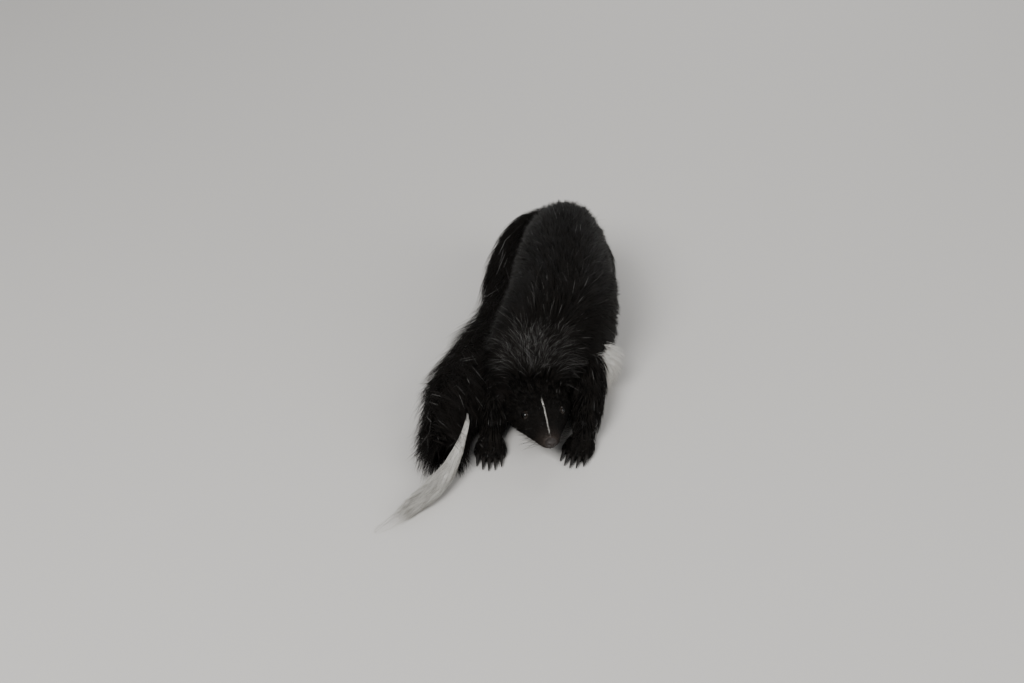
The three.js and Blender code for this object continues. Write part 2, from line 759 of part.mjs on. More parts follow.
// The part's frame: its origin is the middle of its underside

const bounds = new THREE.Box3();
for (const [, , solid] of solids) {
  const { min, max } = solid.boundingBox();
  bounds.expandByPoint(vector(...min)).expandByPoint(vector(...max));
}
const middle = bounds.getCenter(vector());

const group = new THREE.Group();
for (const [name, look, solid] of solids) {
  const moved = solid.translate(-middle.x, -middle.y, -bounds.min.z);
  const geometry = geometryOf(largest(solidOf(geometryOf(moved), MERGE)));
  geometry.computeVertexNormals();
  const mesh = new THREE.Mesh(geometry, new THREE.MeshStandardMaterial(LOOKS[look]));
  mesh.name = name;
  group.add(mesh);
}

export default group;
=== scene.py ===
# %% [markdown]
# # A striped skunk, crouching
# The solids of this museum model give the animal's outline, out to the tips of its coat. This scene
# dresses them: one skin under the coat, fur in many thousand small solid tufts, eyes, nose, claws and
# whiskers. The tufts could be particle hair, but an exported model drops that, so each is a thin mesh.

# %% Load the solids
import json
import math

import bmesh
import bpy
import numpy as np
from mathutils import Matrix, Vector
from mathutils.kdtree import KDTree

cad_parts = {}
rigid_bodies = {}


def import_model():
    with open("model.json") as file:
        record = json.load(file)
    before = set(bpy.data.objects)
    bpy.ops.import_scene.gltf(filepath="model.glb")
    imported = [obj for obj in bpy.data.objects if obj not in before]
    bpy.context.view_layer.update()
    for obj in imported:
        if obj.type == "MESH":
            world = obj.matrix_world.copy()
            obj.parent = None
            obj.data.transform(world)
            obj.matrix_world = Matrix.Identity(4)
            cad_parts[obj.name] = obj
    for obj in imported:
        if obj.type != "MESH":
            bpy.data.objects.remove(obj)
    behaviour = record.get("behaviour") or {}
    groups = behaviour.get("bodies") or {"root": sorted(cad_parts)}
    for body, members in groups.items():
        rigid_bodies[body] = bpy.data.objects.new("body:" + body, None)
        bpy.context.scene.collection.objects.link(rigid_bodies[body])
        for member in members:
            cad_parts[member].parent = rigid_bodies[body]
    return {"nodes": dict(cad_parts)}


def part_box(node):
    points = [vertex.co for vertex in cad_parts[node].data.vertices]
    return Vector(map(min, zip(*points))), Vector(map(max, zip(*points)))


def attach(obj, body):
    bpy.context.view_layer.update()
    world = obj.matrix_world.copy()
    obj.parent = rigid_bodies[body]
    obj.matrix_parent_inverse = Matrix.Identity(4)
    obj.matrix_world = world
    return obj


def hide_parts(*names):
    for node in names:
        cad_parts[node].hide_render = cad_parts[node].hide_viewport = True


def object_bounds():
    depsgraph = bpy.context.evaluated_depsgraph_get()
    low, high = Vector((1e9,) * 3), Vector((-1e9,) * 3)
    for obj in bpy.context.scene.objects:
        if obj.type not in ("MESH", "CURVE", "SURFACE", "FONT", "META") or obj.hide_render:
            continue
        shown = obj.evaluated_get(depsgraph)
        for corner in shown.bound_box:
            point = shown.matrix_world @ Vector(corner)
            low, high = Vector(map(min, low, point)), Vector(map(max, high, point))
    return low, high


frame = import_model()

cad_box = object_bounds()
MM = 0.001
print("solids from", [round(v / MM, 1) for v in cad_box[0]], "to", [round(v / MM, 1) for v in cad_box[1]])

# %% [markdown]
# ## The animal's own measures
# All sizes are in millimetres, measured from a point on the floor just behind the nose: x to the animal's
# left, y towards its tail and z up. The nose pad of the solids tells where that point is in the part's frame.

# %% Where the animal stands
NOSE_MIDDLE = Vector((-0.833, -3.068, 22.430))
low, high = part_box("nose")
origin = (low + high) / 2 / MM - NOSE_MIDDLE
origin.z = 0
print("the animal's own origin is at", [round(v, 2) for v in origin], "mm")


def to_frame(points):
    """Millimetres from the animal's origin to metres in the part's frame."""
    return (np.asarray(points, float) + np.array(origin)) * MM


# %% [markdown]
# A table gives the shape at a few places along a part; this reads it at any place between them, on
# smooth curves, so a few rows of named sizes are enough for a rounded form.

# %% Read a table at any place
def row_at(table, place):
    table = np.asarray(table, float)
    place = np.atleast_1d(np.asarray(place, float))
    i = np.clip(np.searchsorted(table[:, 0], place) - 1, 0, len(table) - 2)
    first, second = table[i], table[i + 1]
    before, after = table[np.maximum(i - 1, 0)], table[np.minimum(i + 2, len(table) - 1)]
    span = second[:, :1] - first[:, :1]
    t = np.clip((place[:, None] - first[:, :1]) / span, 0, 1)
    rise = (second - before) / (second[:, :1] - before[:, :1]) * span
    fall = (after - first) / (after[:, :1] - first[:, :1]) * span
    bend = (1 - t) ** 2 * t * rise - (1 - t) * t**2 * fall
    return first * (1 + 2 * t) * (1 - t) ** 2 + second * t**2 * (3 - 2 * t) + bend


def rounded_end(far, reach):
    return np.sqrt(1 - np.clip(1 - far / reach, 0, 0.999) ** 2)


def power(value, share):
    return np.sign(value) * np.abs(value) ** share


def smooth(low, high, value):
    """0 below low, 1 above high and a smooth step between."""
    t = np.clip((value - low) / (high - low), 0, 1)
    return t * t * (3 - 2 * t)


print("half way from 0 to 10:", row_at([[0, 0], [10, 10]], 5)[0, 1])

# %% [markdown]
# ## The forms under the coat
# The head is a row of oval sections behind the nose tip, turned a little to the animal's left. Small
# bumps give the brows, the dip of the bridge, the cheeks and the lips.

# %% The head
NOSE_TIP = (0, -7, 22)
HEAD_YAW = 12
HEAD_RISE = 1
HEAD_SECTIONS = [
    [1.5, 3.9, 2.4, 3.4],
    [7, 6.8, 5.5, 7.2],
    [16, 10.6, 10, 10.8],
    [27, 16.5, 16.2, 13.4],
    [40, 22.5, 20.2, 16],
    [54, 27.5, 22.8, 17.5],
    [68, 29.5, 24.5, 18],
    [84, 27, 24, 18],
]
HEAD_ENDS = (1.5, 84)
HEAD_ROUND = (6, 12)
HEAD_SHARE = 0.9
HEAD_BUMPS = [
    [25, 66, 6, 20, 1.2],
    [20, 30, 5, 20, -1.3],
    [46, -15, 12, 35, 2],
    [11, -12, 6, 30, 1],
]
head_turn = (
    Matrix.Translation(NOSE_TIP)
    @ Matrix.Rotation(math.radians(HEAD_YAW), 4, "Z")
    @ Matrix.Rotation(math.radians(-HEAD_RISE), 4, "X")
)


def turned(points, matrix):
    """Points moved by a matrix."""
    matrix = np.array(matrix)
    return np.asarray(points) @ matrix[:3, :3].T + matrix[:3, 3]


def head_spot(back, angle, inset=0.0):
    """A spot on the head, inset under the coat's tips, at a distance behind the nose tip."""
    back, angle = np.broadcast_arrays(np.asarray(back, float), np.asarray(angle, float))
    shape = back.shape
    back, angle = back.ravel(), angle.ravel()
    inset = np.broadcast_to(inset, shape).ravel()
    row = row_at(HEAD_SECTIONS, back)
    lift = np.degrees(np.arctan2(np.sin(angle), np.abs(np.cos(angle))))
    rise = -inset
    for at, turn, along, around, high in HEAD_BUMPS:
        rise = rise + high * np.exp(-(((back - at) / along) ** 2) - ((lift - turn) / around) ** 2)
    cap = np.minimum(
        rounded_end(back - HEAD_ENDS[0] - inset, HEAD_ROUND[0]),
        rounded_end(HEAD_ENDS[1] - back - inset, HEAD_ROUND[1]),
    )
    height = np.where(np.sin(angle) > 0, row[:, 2], row[:, 3]) + rise
    spots = np.stack([
        cap * (row[:, 1] + rise) * power(np.cos(angle), HEAD_SHARE),
        back,
        cap * height * power(np.sin(angle), HEAD_SHARE),
    ], axis=-1)
    return turned(spots, head_turn).reshape(*shape, 3)


print("nose to nape:", HEAD_ENDS[1] - HEAD_ENDS[0], "mm")

# %% [markdown]
# A skunk's ears are small rounded cups. A ball is pressed flat and its front is pushed in behind the
# rim; the same function later leaves the cups free of hair and lays the down on them.

# %% Cupped ears
EAR = {
    "back": 57, "side": 26.5, "up": 12.5, "half": (9.8, 5, 11), "turn": 34, "lean": 36, "wall": 2.4, "down": 0.5,
}
SIDES = {"right": -1, "left": 1}


def ear_turn(side):
    return (
        head_turn
        @ Matrix.Translation((side * EAR["side"], EAR["back"], EAR["up"]))
        @ Matrix.Rotation(math.radians(side * EAR["turn"]), 4, "Z")
        @ Matrix.Rotation(math.radians(side * EAR["lean"]), 4, "Y")
    )


def ear_spot(share, angle, side):
    """Share 0 is the middle of the ear's back, 0.5 its rim and 1 the bottom of its cup."""
    out = np.sin(np.pi * share)
    depth = np.sqrt(np.clip(1 - out**2, 0, 1))
    half = EAR["half"]
    wall = EAR["wall"] * (1 - out**8)
    behind = np.where(share < 0.5, depth * half[1], depth * half[1] - wall)
    spots = np.stack([
        (half[0] - EAR["down"]) * out * np.cos(angle),
        behind,
        (half[2] - EAR["down"]) * out * np.sin(angle),
    ], -1)
    return turned(spots, ear_turn(side))


print("ears:", 2 * EAR["half"][0], "mm wide and", 2 * EAR["half"][2], "mm high")

# %% [markdown]
# Neck and body are one row of sections along the spine. The spine bends a little to the animal's left,
# and the back is highest over the loins.

# %% Neck and body
BODY_SECTIONS = [
    [34, -9, 26, 41, 6],
    [50, -12, 31, 48, 5],
    [60, -13, 35, 57, 5],
    [70, -13, 39, 68, 5],
    [82, -10, 42, 78, 5],
    [97, -3, 45, 88, 4],
    [118, 5, 47, 97, 3.5],
    [145, 11, 45, 104, 3.5],
    [175, 12, 42, 108, 3.5],
    [205, 13, 38, 105, 4],
    [232, 14, 33, 95, 8],
    [254, 15, 26, 79, 16],
    [272, 15, 15, 60, 32],
]
BODY_ENDS = (34, 273)
BODY_CAPS = (8, 14)
BODY_LEVEL = 0.42
BODY_SHARE = 0.88


def body_spot(y, angle, inset=0.0):
    """A spot on the body, inset under the coat's tips, at a place along it."""
    y, angle = np.broadcast_arrays(np.asarray(y, float), np.asarray(angle, float))
    shape = y.shape
    y, angle = y.ravel(), angle.ravel()
    place = np.clip(y, BODY_ENDS[0], BODY_ENDS[1] - 0.2)
    _, x, half, top, bottom = row_at(BODY_SECTIONS, place).T
    level = bottom + (top - bottom) * BODY_LEVEL
    cap = np.minimum(
        rounded_end(y - BODY_ENDS[0] - inset, BODY_CAPS[0]),
        rounded_end(BODY_ENDS[1] - inset - y, BODY_CAPS[1]),
    )
    height = np.where(np.sin(angle) > 0, top - inset - level, level - bottom - min(inset, 4))
    spots = np.stack([
        x + cap * (half - inset) * power(np.cos(angle), BODY_SHARE),
        y,
        level + cap * height * power(np.sin(angle), BODY_SHARE),
    ], axis=-1)
    return spots.reshape(*shape, 3)


print("body:", BODY_ENDS[1] - BODY_ENDS[0], "mm long")

# %% [markdown]
# Legs and tail are tubes along a curve through a few points. Each point has its place and its radius,
# and past its ends the curve runs straight on, so hair can reach beyond the last of the flesh.

# %% Tubes for legs and tail
def tube_line(points, samples=240):
    """Place, direction, side, upper side and radius along a smooth line through the points."""
    points = np.asarray(points, float)
    spots = np.vstack([2 * points[0, :3] - points[1, :3], points[:, :3], 2 * points[-1, :3] - points[-2, :3]])
    share = np.linspace(0, len(points) - 1, samples)
    i = np.minimum(share.astype(int), len(points) - 2)
    t = (share - i)[:, None]
    a, b, c, d = (spots[i + k] for k in range(4))
    before, here, after = (
        np.maximum(np.linalg.norm(q - p, axis=1), 1e-6)[:, None] ** 0.5 for p, q in ((a, b), (b, c), (c, d))
    )
    leave = ((b - a) / before - (c - a) / (before + here) + (c - b) / here) * here
    arrive = ((c - b) / here - (d - b) / (here + after) + (d - c) / after) * here
    place = (
        b + leave * t + (3 * (c - b) - 2 * leave - arrive) * t**2 + (2 * (b - c) + leave + arrive) * t**3
    )
    ahead = np.gradient(place, axis=0)
    length = np.linalg.norm(ahead, axis=1).sum()
    ahead /= np.linalg.norm(ahead, axis=1)[:, None]
    side = np.cross(ahead, [0, 0, 1])
    side /= np.linalg.norm(side, axis=1)[:, None]
    over = np.cross(side, ahead)
    radii = row_at(np.stack([np.linspace(0, 1, len(points)), points[:, 3]], 1), share / share[-1])[:, 1]
    return {"place": place, "ahead": ahead, "side": side, "over": over, "radius": radii, "length": length}


def sample_at(line, t):
    """The number of a line's sample at a share of its length."""
    return (np.clip(t, 0, 1) * (len(line["place"]) - 1)).astype(int)


def tube_spot(line, t, angle, inset=0.0):
    """A spot on a tube, inset under its coat's tips."""
    t, angle = np.broadcast_arrays(np.asarray(t, float), np.asarray(angle, float))
    inside = np.clip(t, 0, 1) * (len(line["place"]) - 1)
    i = np.minimum(inside.astype(int), len(line["place"]) - 2)
    f = (inside - i)[..., None]
    place, ahead, side, over = (
        line[key][i] * (1 - f) + line[key][i + 1] * f for key in ("place", "ahead", "side", "over")
    )
    radius = (line["radius"][i] * (1 - f[..., 0]) + line["radius"][i + 1] * f[..., 0] - inset)[..., None]
    place = place + ahead * ((t - np.clip(t, 0, 1)) * line["length"])[..., None]
    return place + radius * (side * np.cos(angle)[..., None] + over * np.sin(angle)[..., None])


FORELEGS = {
    "right": [[-30, 112, 44, 20], [-40, 84, 28, 18], [-44, 56, 20, 15], [-46, 34, 12, 12], [-46.5, 20, 8, 8]],
    "left": [[16, 112, 44, 20], [27, 84, 28, 18], [29, 56, 20, 14.5], [27, 34, 12, 11.5], [25, 22, 8, 8]],
}
THIGHS = {
    "right": [[4, 236, 54, 22], [-5, 212, 43, 21], [-9, 187, 29, 17]],
    "left": [[24, 236, 54, 24], [34, 212, 43, 24], [40, 186, 29, 18]],
}
SHANKS = {
    "right": [[-9, 184, 26, 16], [-9, 207, 17, 14], [-9, 228, 13, 11]],
    "left": [[41, 184, 26, 17], [41, 207, 17, 15], [40, 228, 13, 11]],
}
TAIL = [
    [16, 248, 58, 13],
    [8, 270, 52, 13],
    [-12, 276, 43, 13],
    [-29, 256, 33, 13],
    [-36, 222, 22, 13.5],
    [-38, 184, 14, 14],
    [-46, 148, 13, 14.5],
    [-60, 112, 13.5, 15],
    [-71, 76, 13.5, 15],
    [-76, 44, 12.5, 13.5],
    [-77, 13, 10, 8],
]
TUFT = [
    [-66, 40, 21, 3.5],
    [-65, 17, 27.5, 4],
    [-70, -5, 22, 6],
    [-79, -25, 12.5, 8],
    [-92, -43, 7.5, 8.5],
    [-105, -57, 5, 7],
    [-112, -63.5, 3, 5],
]
foreleg_lines = {name: tube_line(points) for name, points in FORELEGS.items()}
thigh_lines = {name: tube_line(points) for name, points in THIGHS.items()}
shank_lines = {name: tube_line(points) for name, points in SHANKS.items()}
tail_line = tube_line(TAIL)
tuft_line = tube_line(TUFT)
tuft_core = tube_line(TUFT[:5])
print("tail:", round(tail_line["length"]), "mm of flesh and", round(tuft_line["length"]), "mm of white tuft")

# %% [markdown]
# A foot is a low oval with five toes. The same oval places the sole, the toes, the claws and the short
# hair on them, so each is worked out from the foot's centre and the way its toes point.

# %% The feet
FOREFEET = {"right": (-47, 17, -3), "left": (23, 19, -20)}
HINDFEET = {"right": (-9, 200, 3), "left": (43, 198, 8)}
FOREFOOT = {"half": (11, 14), "height": 12, "toe": 9, "toe_radius": 3.1, "spread": 4.5, "arc": 5.5}
HINDFOOT = {"half": (10.5, 30), "height": 11, "toe": 8, "toe_radius": 3, "spread": 4.2, "arc": 5}
TOES = (-2, -1, 0, 1, 2)
TOE_SINK = 4


def foot_turn(place):
    x, y, aim = place
    return Matrix.Translation((x, y, 0)) @ Matrix.Rotation(math.radians(aim), 4, "Z")


def toe_front(size, toe):
    """How far ahead of the foot's centre a toe ends, as a place along y."""
    return -size["half"][1] - size["toe"] + TOE_SINK + size["arc"] * toe * toe / 4


feet = [(FOREFEET[name], FOREFOOT) for name in FOREFEET] + [(HINDFEET[name], HINDFOOT) for name in HINDFEET]
print(len(feet), "feet with", len(feet) * len(TOES), "toes")

# %% [markdown]
# ## Closed forms from a ball
# A UV sphere has rings and poles, which is just what a closed limb needs: its rings become the sections
# and its poles the two ends. Each vertex knows its share of the way and its angle, and is moved there.

# %% Shape a ball into a form
def ball_into(bm, around, along, place):
    """Adds a ball to a bmesh, each vertex moved to place(share of the way, angle)."""
    made = bmesh.ops.create_uvsphere(bm, u_segments=around, v_segments=along, radius=1)["verts"]
    spots = np.array([v.co for v in made])
    share = np.arccos(np.clip(spots[:, 2], -1, 1)) / math.pi
    angle = np.arctan2(spots[:, 1], spots[:, 0])
    for vertex, spot in zip(made, place(share, angle)):
        vertex.co = spot
    return made


def eased(share):
    return (1 - np.cos(np.pi * share)) / 2


def at_pole(share):
    return (share < 1e-4) | (share > 1 - 1e-4)


def closed_head(share, angle):
    back = HEAD_ENDS[0] + head_depth(0) + (HEAD_ENDS[1] - HEAD_ENDS[0] - HEAD_SHORTER) * eased(share)
    spots = head_spot(back, angle, head_depth(back))
    middle = turned(np.stack([0 * back, back, 0 * back], 1), head_turn)
    return np.where(at_pole(share)[:, None], middle, spots)


def closed_body(share, angle, inset):
    y = BODY_ENDS[0] + inset + (BODY_ENDS[1] - BODY_ENDS[0] - 2 * inset) * eased(share)
    _, x, _, top, bottom = row_at(BODY_SECTIONS, y).T
    middle = np.stack([x, y, bottom + (top - bottom) * BODY_LEVEL], 1)
    return np.where(at_pole(share)[:, None], middle, body_spot(y, angle, inset))


def closed_tube(line, share, angle, inset, scale=1.0):
    t = eased(share)
    far = np.minimum(t, 1 - t) * line["length"]
    i = np.round(t * (len(line["radius"]) - 1)).astype(int)
    radius = line["radius"][i] * scale - inset
    cap = np.where(at_pole(share), 0, rounded_end(far + 0.01, np.maximum(radius, 0.5)))
    return tube_spot(line, t, angle, line["radius"][i] - radius * cap)


# %% [markdown]
# ## The skin
# Under the coat lies one skin. Its forms overlap, and a voxel remesh melts them into one closed surface
# without a seam; a boolean union would keep a hard crease at each joint. A few smoothing steps take the
# voxels' steps away.

# %% How deep the skin lies under the tips of the coat
BODY_DEPTH = 8.5
LEG_DEPTH = 4
FOOT_DEPTH = 1.2
TAIL_SKIN = 0.6  # share of the core's radius
TUFT_SKIN = 0.4
HEAD_SHORTER = 5
HEAD_DEPTHS = [[0, 0.6], [12, 0.8], [27, 1.2], [40, 2.6], [54, 4.4], [68, 6], [84, 7]]
VOXEL = 1.3
SOLE = 0.05


def head_depth(back):
    return row_at(HEAD_DEPTHS, back)[:, 1].reshape(np.shape(back))


def ball_spots(share, angle, half, matrix):
    spots = np.stack([
        half[0] * np.sin(np.pi * share) * np.cos(angle),
        half[1] * np.sin(np.pi * share) * np.sin(angle),
        half[2] * np.cos(np.pi * share),
    ], 1)
    return turned(spots, matrix)


def sole_of(place, size):
    """The foot's oval under its coat: half sizes and matrix."""
    high = size["height"] / 2
    half = (size["half"][0] - FOOT_DEPTH, size["half"][1] - FOOT_DEPTH, high + 1 - FOOT_DEPTH)
    return half, foot_turn(place) @ Matrix.Translation((0, 0, high - 1))


def toe_of(place, size, toe):
    """One toe under its coat: half sizes and matrix."""
    half = (size["toe_radius"] - 0.6, size["toe"] - 0.6, size["toe_radius"] + 0.4)
    middle = (toe * size["spread"], toe_front(size, toe) + size["toe"], half[2])
    return half, foot_turn(place) @ Matrix.Translation(middle)


bm = bmesh.new()
ball_into(bm, 72, 60, closed_head)
ball_into(bm, 72, 72, lambda share, angle: closed_body(share, angle, BODY_DEPTH))
for name in ("right", "left"):
    ball_into(bm, 32, 32, lambda s, a, line=foreleg_lines[name]: closed_tube(line, s, a, LEG_DEPTH))
    ball_into(bm, 32, 24, lambda s, a, line=thigh_lines[name]: closed_tube(line, s, a, LEG_DEPTH))
    ball_into(bm, 32, 24, lambda s, a, line=shank_lines[name]: closed_tube(line, s, a, LEG_DEPTH))
ball_into(bm, 24, 90, lambda s, a: closed_tube(tail_line, s, a, 0, TAIL_SKIN))
ball_into(bm, 16, 40, lambda s, a: closed_tube(tuft_core, s, a, 0, TUFT_SKIN))
for place, size in feet:
    ball_into(bm, 24, 16, lambda s, a, oval=sole_of(place, size): ball_spots(s, a, *oval))
    for toe in TOES:
        ball_into(bm, 16, 12, lambda s, a, oval=toe_of(place, size, toe): ball_spots(s, a, *oval))
for side in SIDES.values():
    ball_into(bm, 48, 32, lambda share, angle, side=side: ear_spot(share, angle, side))
bmesh.ops.recalc_face_normals(bm, faces=bm.faces)
bm.transform(Matrix.Scale(MM, 4) @ Matrix.Translation(origin))
print("forms under the skin:", len(bm.verts), "vertices")


# %% Melt the forms into one skin
def piece_from(bm, name):
    """A mesh object at the origin, made from a bmesh, which is then freed."""
    mesh = bpy.data.meshes.new(name)
    bm.to_mesh(mesh)
    bm.free()
    piece = bpy.data.objects.new(name, mesh)
    bpy.context.scene.collection.objects.link(piece)
    return piece


def applied(piece):
    """The piece's modifiers made part of its mesh."""
    dg = bpy.context.evaluated_depsgraph_get()
    mesh = bpy.data.meshes.new_from_object(piece.evaluated_get(dg))
    piece.modifiers.clear()
    piece.data = mesh


skin = piece_from(bm, "skin")
remesh = skin.modifiers.new("one surface", "REMESH")
remesh.mode = "VOXEL"
remesh.voxel_size = VOXEL * MM
calm = skin.modifiers.new("no steps", "SMOOTH")
calm.factor = 0.5
calm.iterations = 6
applied(skin)
print("skin:", len(skin.data.polygons), "faces")

# %% [markdown]
# ## The face
# The skin's face is cut finer and then pressed into shape: lids that follow the eyeball, the line of
# the mouth with its lips, and small folds. Pressing vertices with a function keeps the surface whole.

# %% Where the eyes and the mouth are
EYE = {"back": 30, "turn": 34, "radius": 3.8, "proud": 1.7}
LID_OPEN = (3.0, 2.2)
LID_THICK = 0.55
EYE_POCKET = 1.1
LID_FADE = (3.4, 6.6)
MOUTH = [[5, -86], [8, -50], [16, -34], [26, -27], [35, -20]]


LIPS = {"line": 0.95, "line_width": 0.55, "swell": 0.45, "swell_off": 1.5, "swell_width": 0.7}


def head_angle(side, turn):
    """The angle on the head's section of a place given in degrees above its side."""
    return np.radians(turn) if side > 0 else np.pi - np.radians(turn)


def head_normal(back, angle):
    spot = head_spot(back, angle)
    along = head_spot(back + 0.1, angle) - spot
    around = head_spot(back, angle + 0.01) - spot
    normal = np.cross(along, around)
    return normal / np.linalg.norm(normal, axis=-1, keepdims=True)


eyes = {}
for name, side in SIDES.items():
    angle = head_angle(side, EYE["turn"])
    normal = head_normal(EYE["back"], angle)
    centre = head_spot(EYE["back"], angle) + normal * (EYE["proud"] - EYE["radius"])
    slit = head_spot(EYE["back"] + 1, angle) - head_spot(EYE["back"] - 1, angle)
    slit -= normal * slit.dot(normal)
    slit /= np.linalg.norm(slit)
    eyes[name] = {"centre": centre, "normal": normal, "slit": slit, "over": np.cross(normal, slit)}
mouths = {}
for name, side in SIDES.items():
    back, turn = row_at(MOUTH, np.linspace(MOUTH[0][0], MOUTH[-1][0], 60)).T
    mouths[name] = head_spot(back, head_angle(side, turn), head_depth(back))
print("eyes at", {name: np.round(eye["centre"], 1).tolist() for name, eye in eyes.items()})

# %% Cut the face finer and press it into shape
head_back = np.array(head_turn.inverted())


def in_head(points):
    """Points in the head's own frame: x to its left, y behind the nose tip, z up."""
    return points @ head_back[:3, :3].T + head_back[:3, 3]


def own_places(bm):
    return np.array([v.co for v in bm.verts]) / MM - np.array(origin)


def near_line(points, line):
    return np.linalg.norm(points[:, None] - line[None], axis=2).min(1)


FACE = {"back": 46, "side": 34, "y": 60, "z": 2, "x": (-34, 22)}
FINE = {"eye": 8, "mouth": 2.2, "mouth_reach": 26}


def of_face(places):
    """Vertices of the face, without the feet that lie beside it."""
    x, back, _ = in_head(places).T
    near = (back < FACE["back"]) & (np.abs(x) < FACE["side"])
    near &= (places[:, 1] < FACE["y"]) & (places[:, 2] > FACE["z"])
    return near & (places[:, 0] >= FACE["x"][0]) & (places[:, 0] <= FACE["x"][1])


def beside(places, line):
    return np.linalg.norm(places - line.mean(0), axis=1) < FINE["mouth_reach"]


def of_eyes_and_mouth(places):
    near = np.zeros(len(places), bool)
    for eye in eyes.values():
        near |= np.linalg.norm(places - eye["centre"], axis=1) < FINE["eye"]
    for line in mouths.values():
        close = beside(places, line)
        near[close] |= near_line(places[close], line) < FINE["mouth"]
    return near


bm = bmesh.new()
bm.from_mesh(skin.data)
for chooses in (of_face, of_eyes_and_mouth):
    chosen = {v for v, take in zip(bm.verts, chooses(own_places(bm))) if take}
    edges = [e for e in bm.edges if e.verts[0] in chosen and e.verts[1] in chosen]
    bmesh.ops.subdivide_edges(bm, edges=edges, cuts=1, use_grid_fill=True, smooth=0.6)
bmesh.ops.triangulate(bm, faces=[f for f in bm.faces if len(f.verts) > 4])
print("cut finer:", len(bm.faces), "faces")

# %% Press the mouth and the lids
places = own_places(bm)
bm.normal_update()
normals = np.array([v.normal for v in bm.verts])
for line in mouths.values():
    close = beside(places, line)
    far = near_line(places[close], line)
    press = LIPS["swell"] * np.exp(-(((far - LIPS["swell_off"]) / LIPS["swell_width"]) ** 2))
    press -= LIPS["line"] * np.exp(-((far / LIPS["line_width"]) ** 2))
    places[close] += normals[close] * press[:, None]
for eye in eyes.values():
    gap = places - eye["centre"]
    far = np.linalg.norm(gap, axis=1)
    out = gap @ eye["normal"]
    along, up = gap @ eye["slit"], gap @ eye["over"]
    lateral = np.hypot(along, up)
    close = (far < 9) & (out > 0)
    opening = np.hypot(along / LID_OPEN[0], up / LID_OPEN[1])
    ray = gap / np.maximum(far, 1e-6)[:, None]
    lid = eye["centre"] + ray * (EYE["radius"] + LID_THICK)
    inside = eye["centre"] + ray * (EYE["radius"] - EYE_POCKET)
    hold = (1 - smooth(*LID_FADE, lateral))[:, None]
    shaped = places + (lid - places) * hold
    step = smooth(0.94, 1.06, opening)[:, None]
    shaped = inside * (1 - step) + shaped * step
    places[close] = shaped[close]
places[:, 2] = np.maximum(places[:, 2], SOLE)
for vertex, place in zip(bm.verts, to_frame(places)):
    vertex.co = place
bm.to_mesh(skin.data)
bm.free()
print("skin with its face:", len(skin.data.polygons), "faces")

# %% [markdown]
# ## An unwrap of the skin
# Each tuft takes its colour, when the model is exported, from a small patch of a picture. The patch lies
# where the tuft's root lies on an unwrap of the skin, so tufts that grow together stay together there.

# %% Unwrap the skin
bpy.context.view_layer.objects.active = skin
skin.select_set(True)
bpy.ops.object.mode_set(mode="EDIT")
bpy.ops.mesh.select_all(action="SELECT")
bpy.ops.uv.smart_project(angle_limit=math.radians(66), island_margin=0.002)
bpy.ops.object.mode_set(mode="OBJECT")
skin.data.uv_layers[0].name = "OFBake"
loops = len(skin.data.loops)
corner_uv = np.zeros(loops * 2, np.float32)
skin.data.uv_layers["OFBake"].data.foreach_get("uv", corner_uv)
corner_vertex = np.zeros(loops, np.int32)
skin.data.loops.foreach_get("vertex_index", corner_vertex)
skin_uv = np.zeros((len(skin.data.vertices), 2))
skin_uv[corner_vertex] = corner_uv.reshape(-1, 2)
skin_places = np.zeros(len(skin.data.vertices) * 3, np.float32)
skin.data.vertices.foreach_get("co", skin_places)
skin_places = skin_places.reshape(-1, 3)
skin_tree = KDTree(len(skin_places))
for i, place in enumerate(skin_places):
    skin_tree.insert(place, i)
skin_tree.balance()
print("unwrap reaches", corner_uv.min().round(3), "to", corner_uv.max().round(3))

# %% [markdown]
# ## The markings
# Black all over, but for a thin white line down the middle of the face, a white patch on the left side
# behind the foreleg, and the long white tuft that ends the tail. The snout turns brown at the nose. One
# function gives these masks, and skin and coat both use it.

# %% Where the coat is white or brown
STRIPE = {"from": 8, "to": 35, "half": 0.55, "fade": (9, 22), "faded": 0.35}
PATCH = {"y": (78, 104), "top": 31, "out": 24, "fade": (5, 8)}
MUZZLE = {"back": (3, 17), "half": (14, 16)}
TIP = {"y": 30, "x": -50, "reach": 6, "white": 0.5}


def stripe_half(back):
    """Half the width of the line on the face, widest at the brow."""
    return STRIPE["half"] * (0.5 + 0.5 * smooth(0, 18, back - STRIPE["from"]))


def markings(points):
    """White and brown masks, from 0 to 1, at points in millimetres."""
    side, back, up = in_head(points).T
    width = stripe_half(back)
    stripe = smooth(STRIPE["from"] - 2, STRIPE["from"] + 1, back)
    stripe *= 1 - smooth(STRIPE["to"] - 1, STRIPE["to"] + 2, back)
    stripe *= STRIPE["faded"] + (1 - STRIPE["faded"]) * smooth(*STRIPE["fade"], back)
    stripe *= (1 - smooth(width * 0.8, width * 1.4, np.abs(side))) * (up > 0)
    x, y, z = points.T
    centre_x = row_at(BODY_SECTIONS, np.clip(y, *BODY_ENDS))[:, 1]
    front, behind = PATCH["y"]
    start, end = PATCH["fade"]
    patch = smooth(front, front + start, y) * (1 - smooth(behind - end, behind, y))
    patch *= (1 - smooth(PATCH["top"] - end, PATCH["top"], z)) * (x > centre_x + PATCH["out"])
    tip = (y < TIP["y"]) & (x < TIP["x"]) & (near_line(points, tuft_core["place"][::8]) < TIP["reach"])
    half_side, half_up = MUZZLE["half"]
    brown = (1 - smooth(*MUZZLE["back"], back)) * (np.abs(side) < half_side) * (np.abs(up) < half_up)
    return np.maximum(np.maximum(stripe, patch), TIP["white"] * tip), brown


print("white half way down the face:", markings(head_spot([20.0], [math.pi / 2]))[0].round(2))

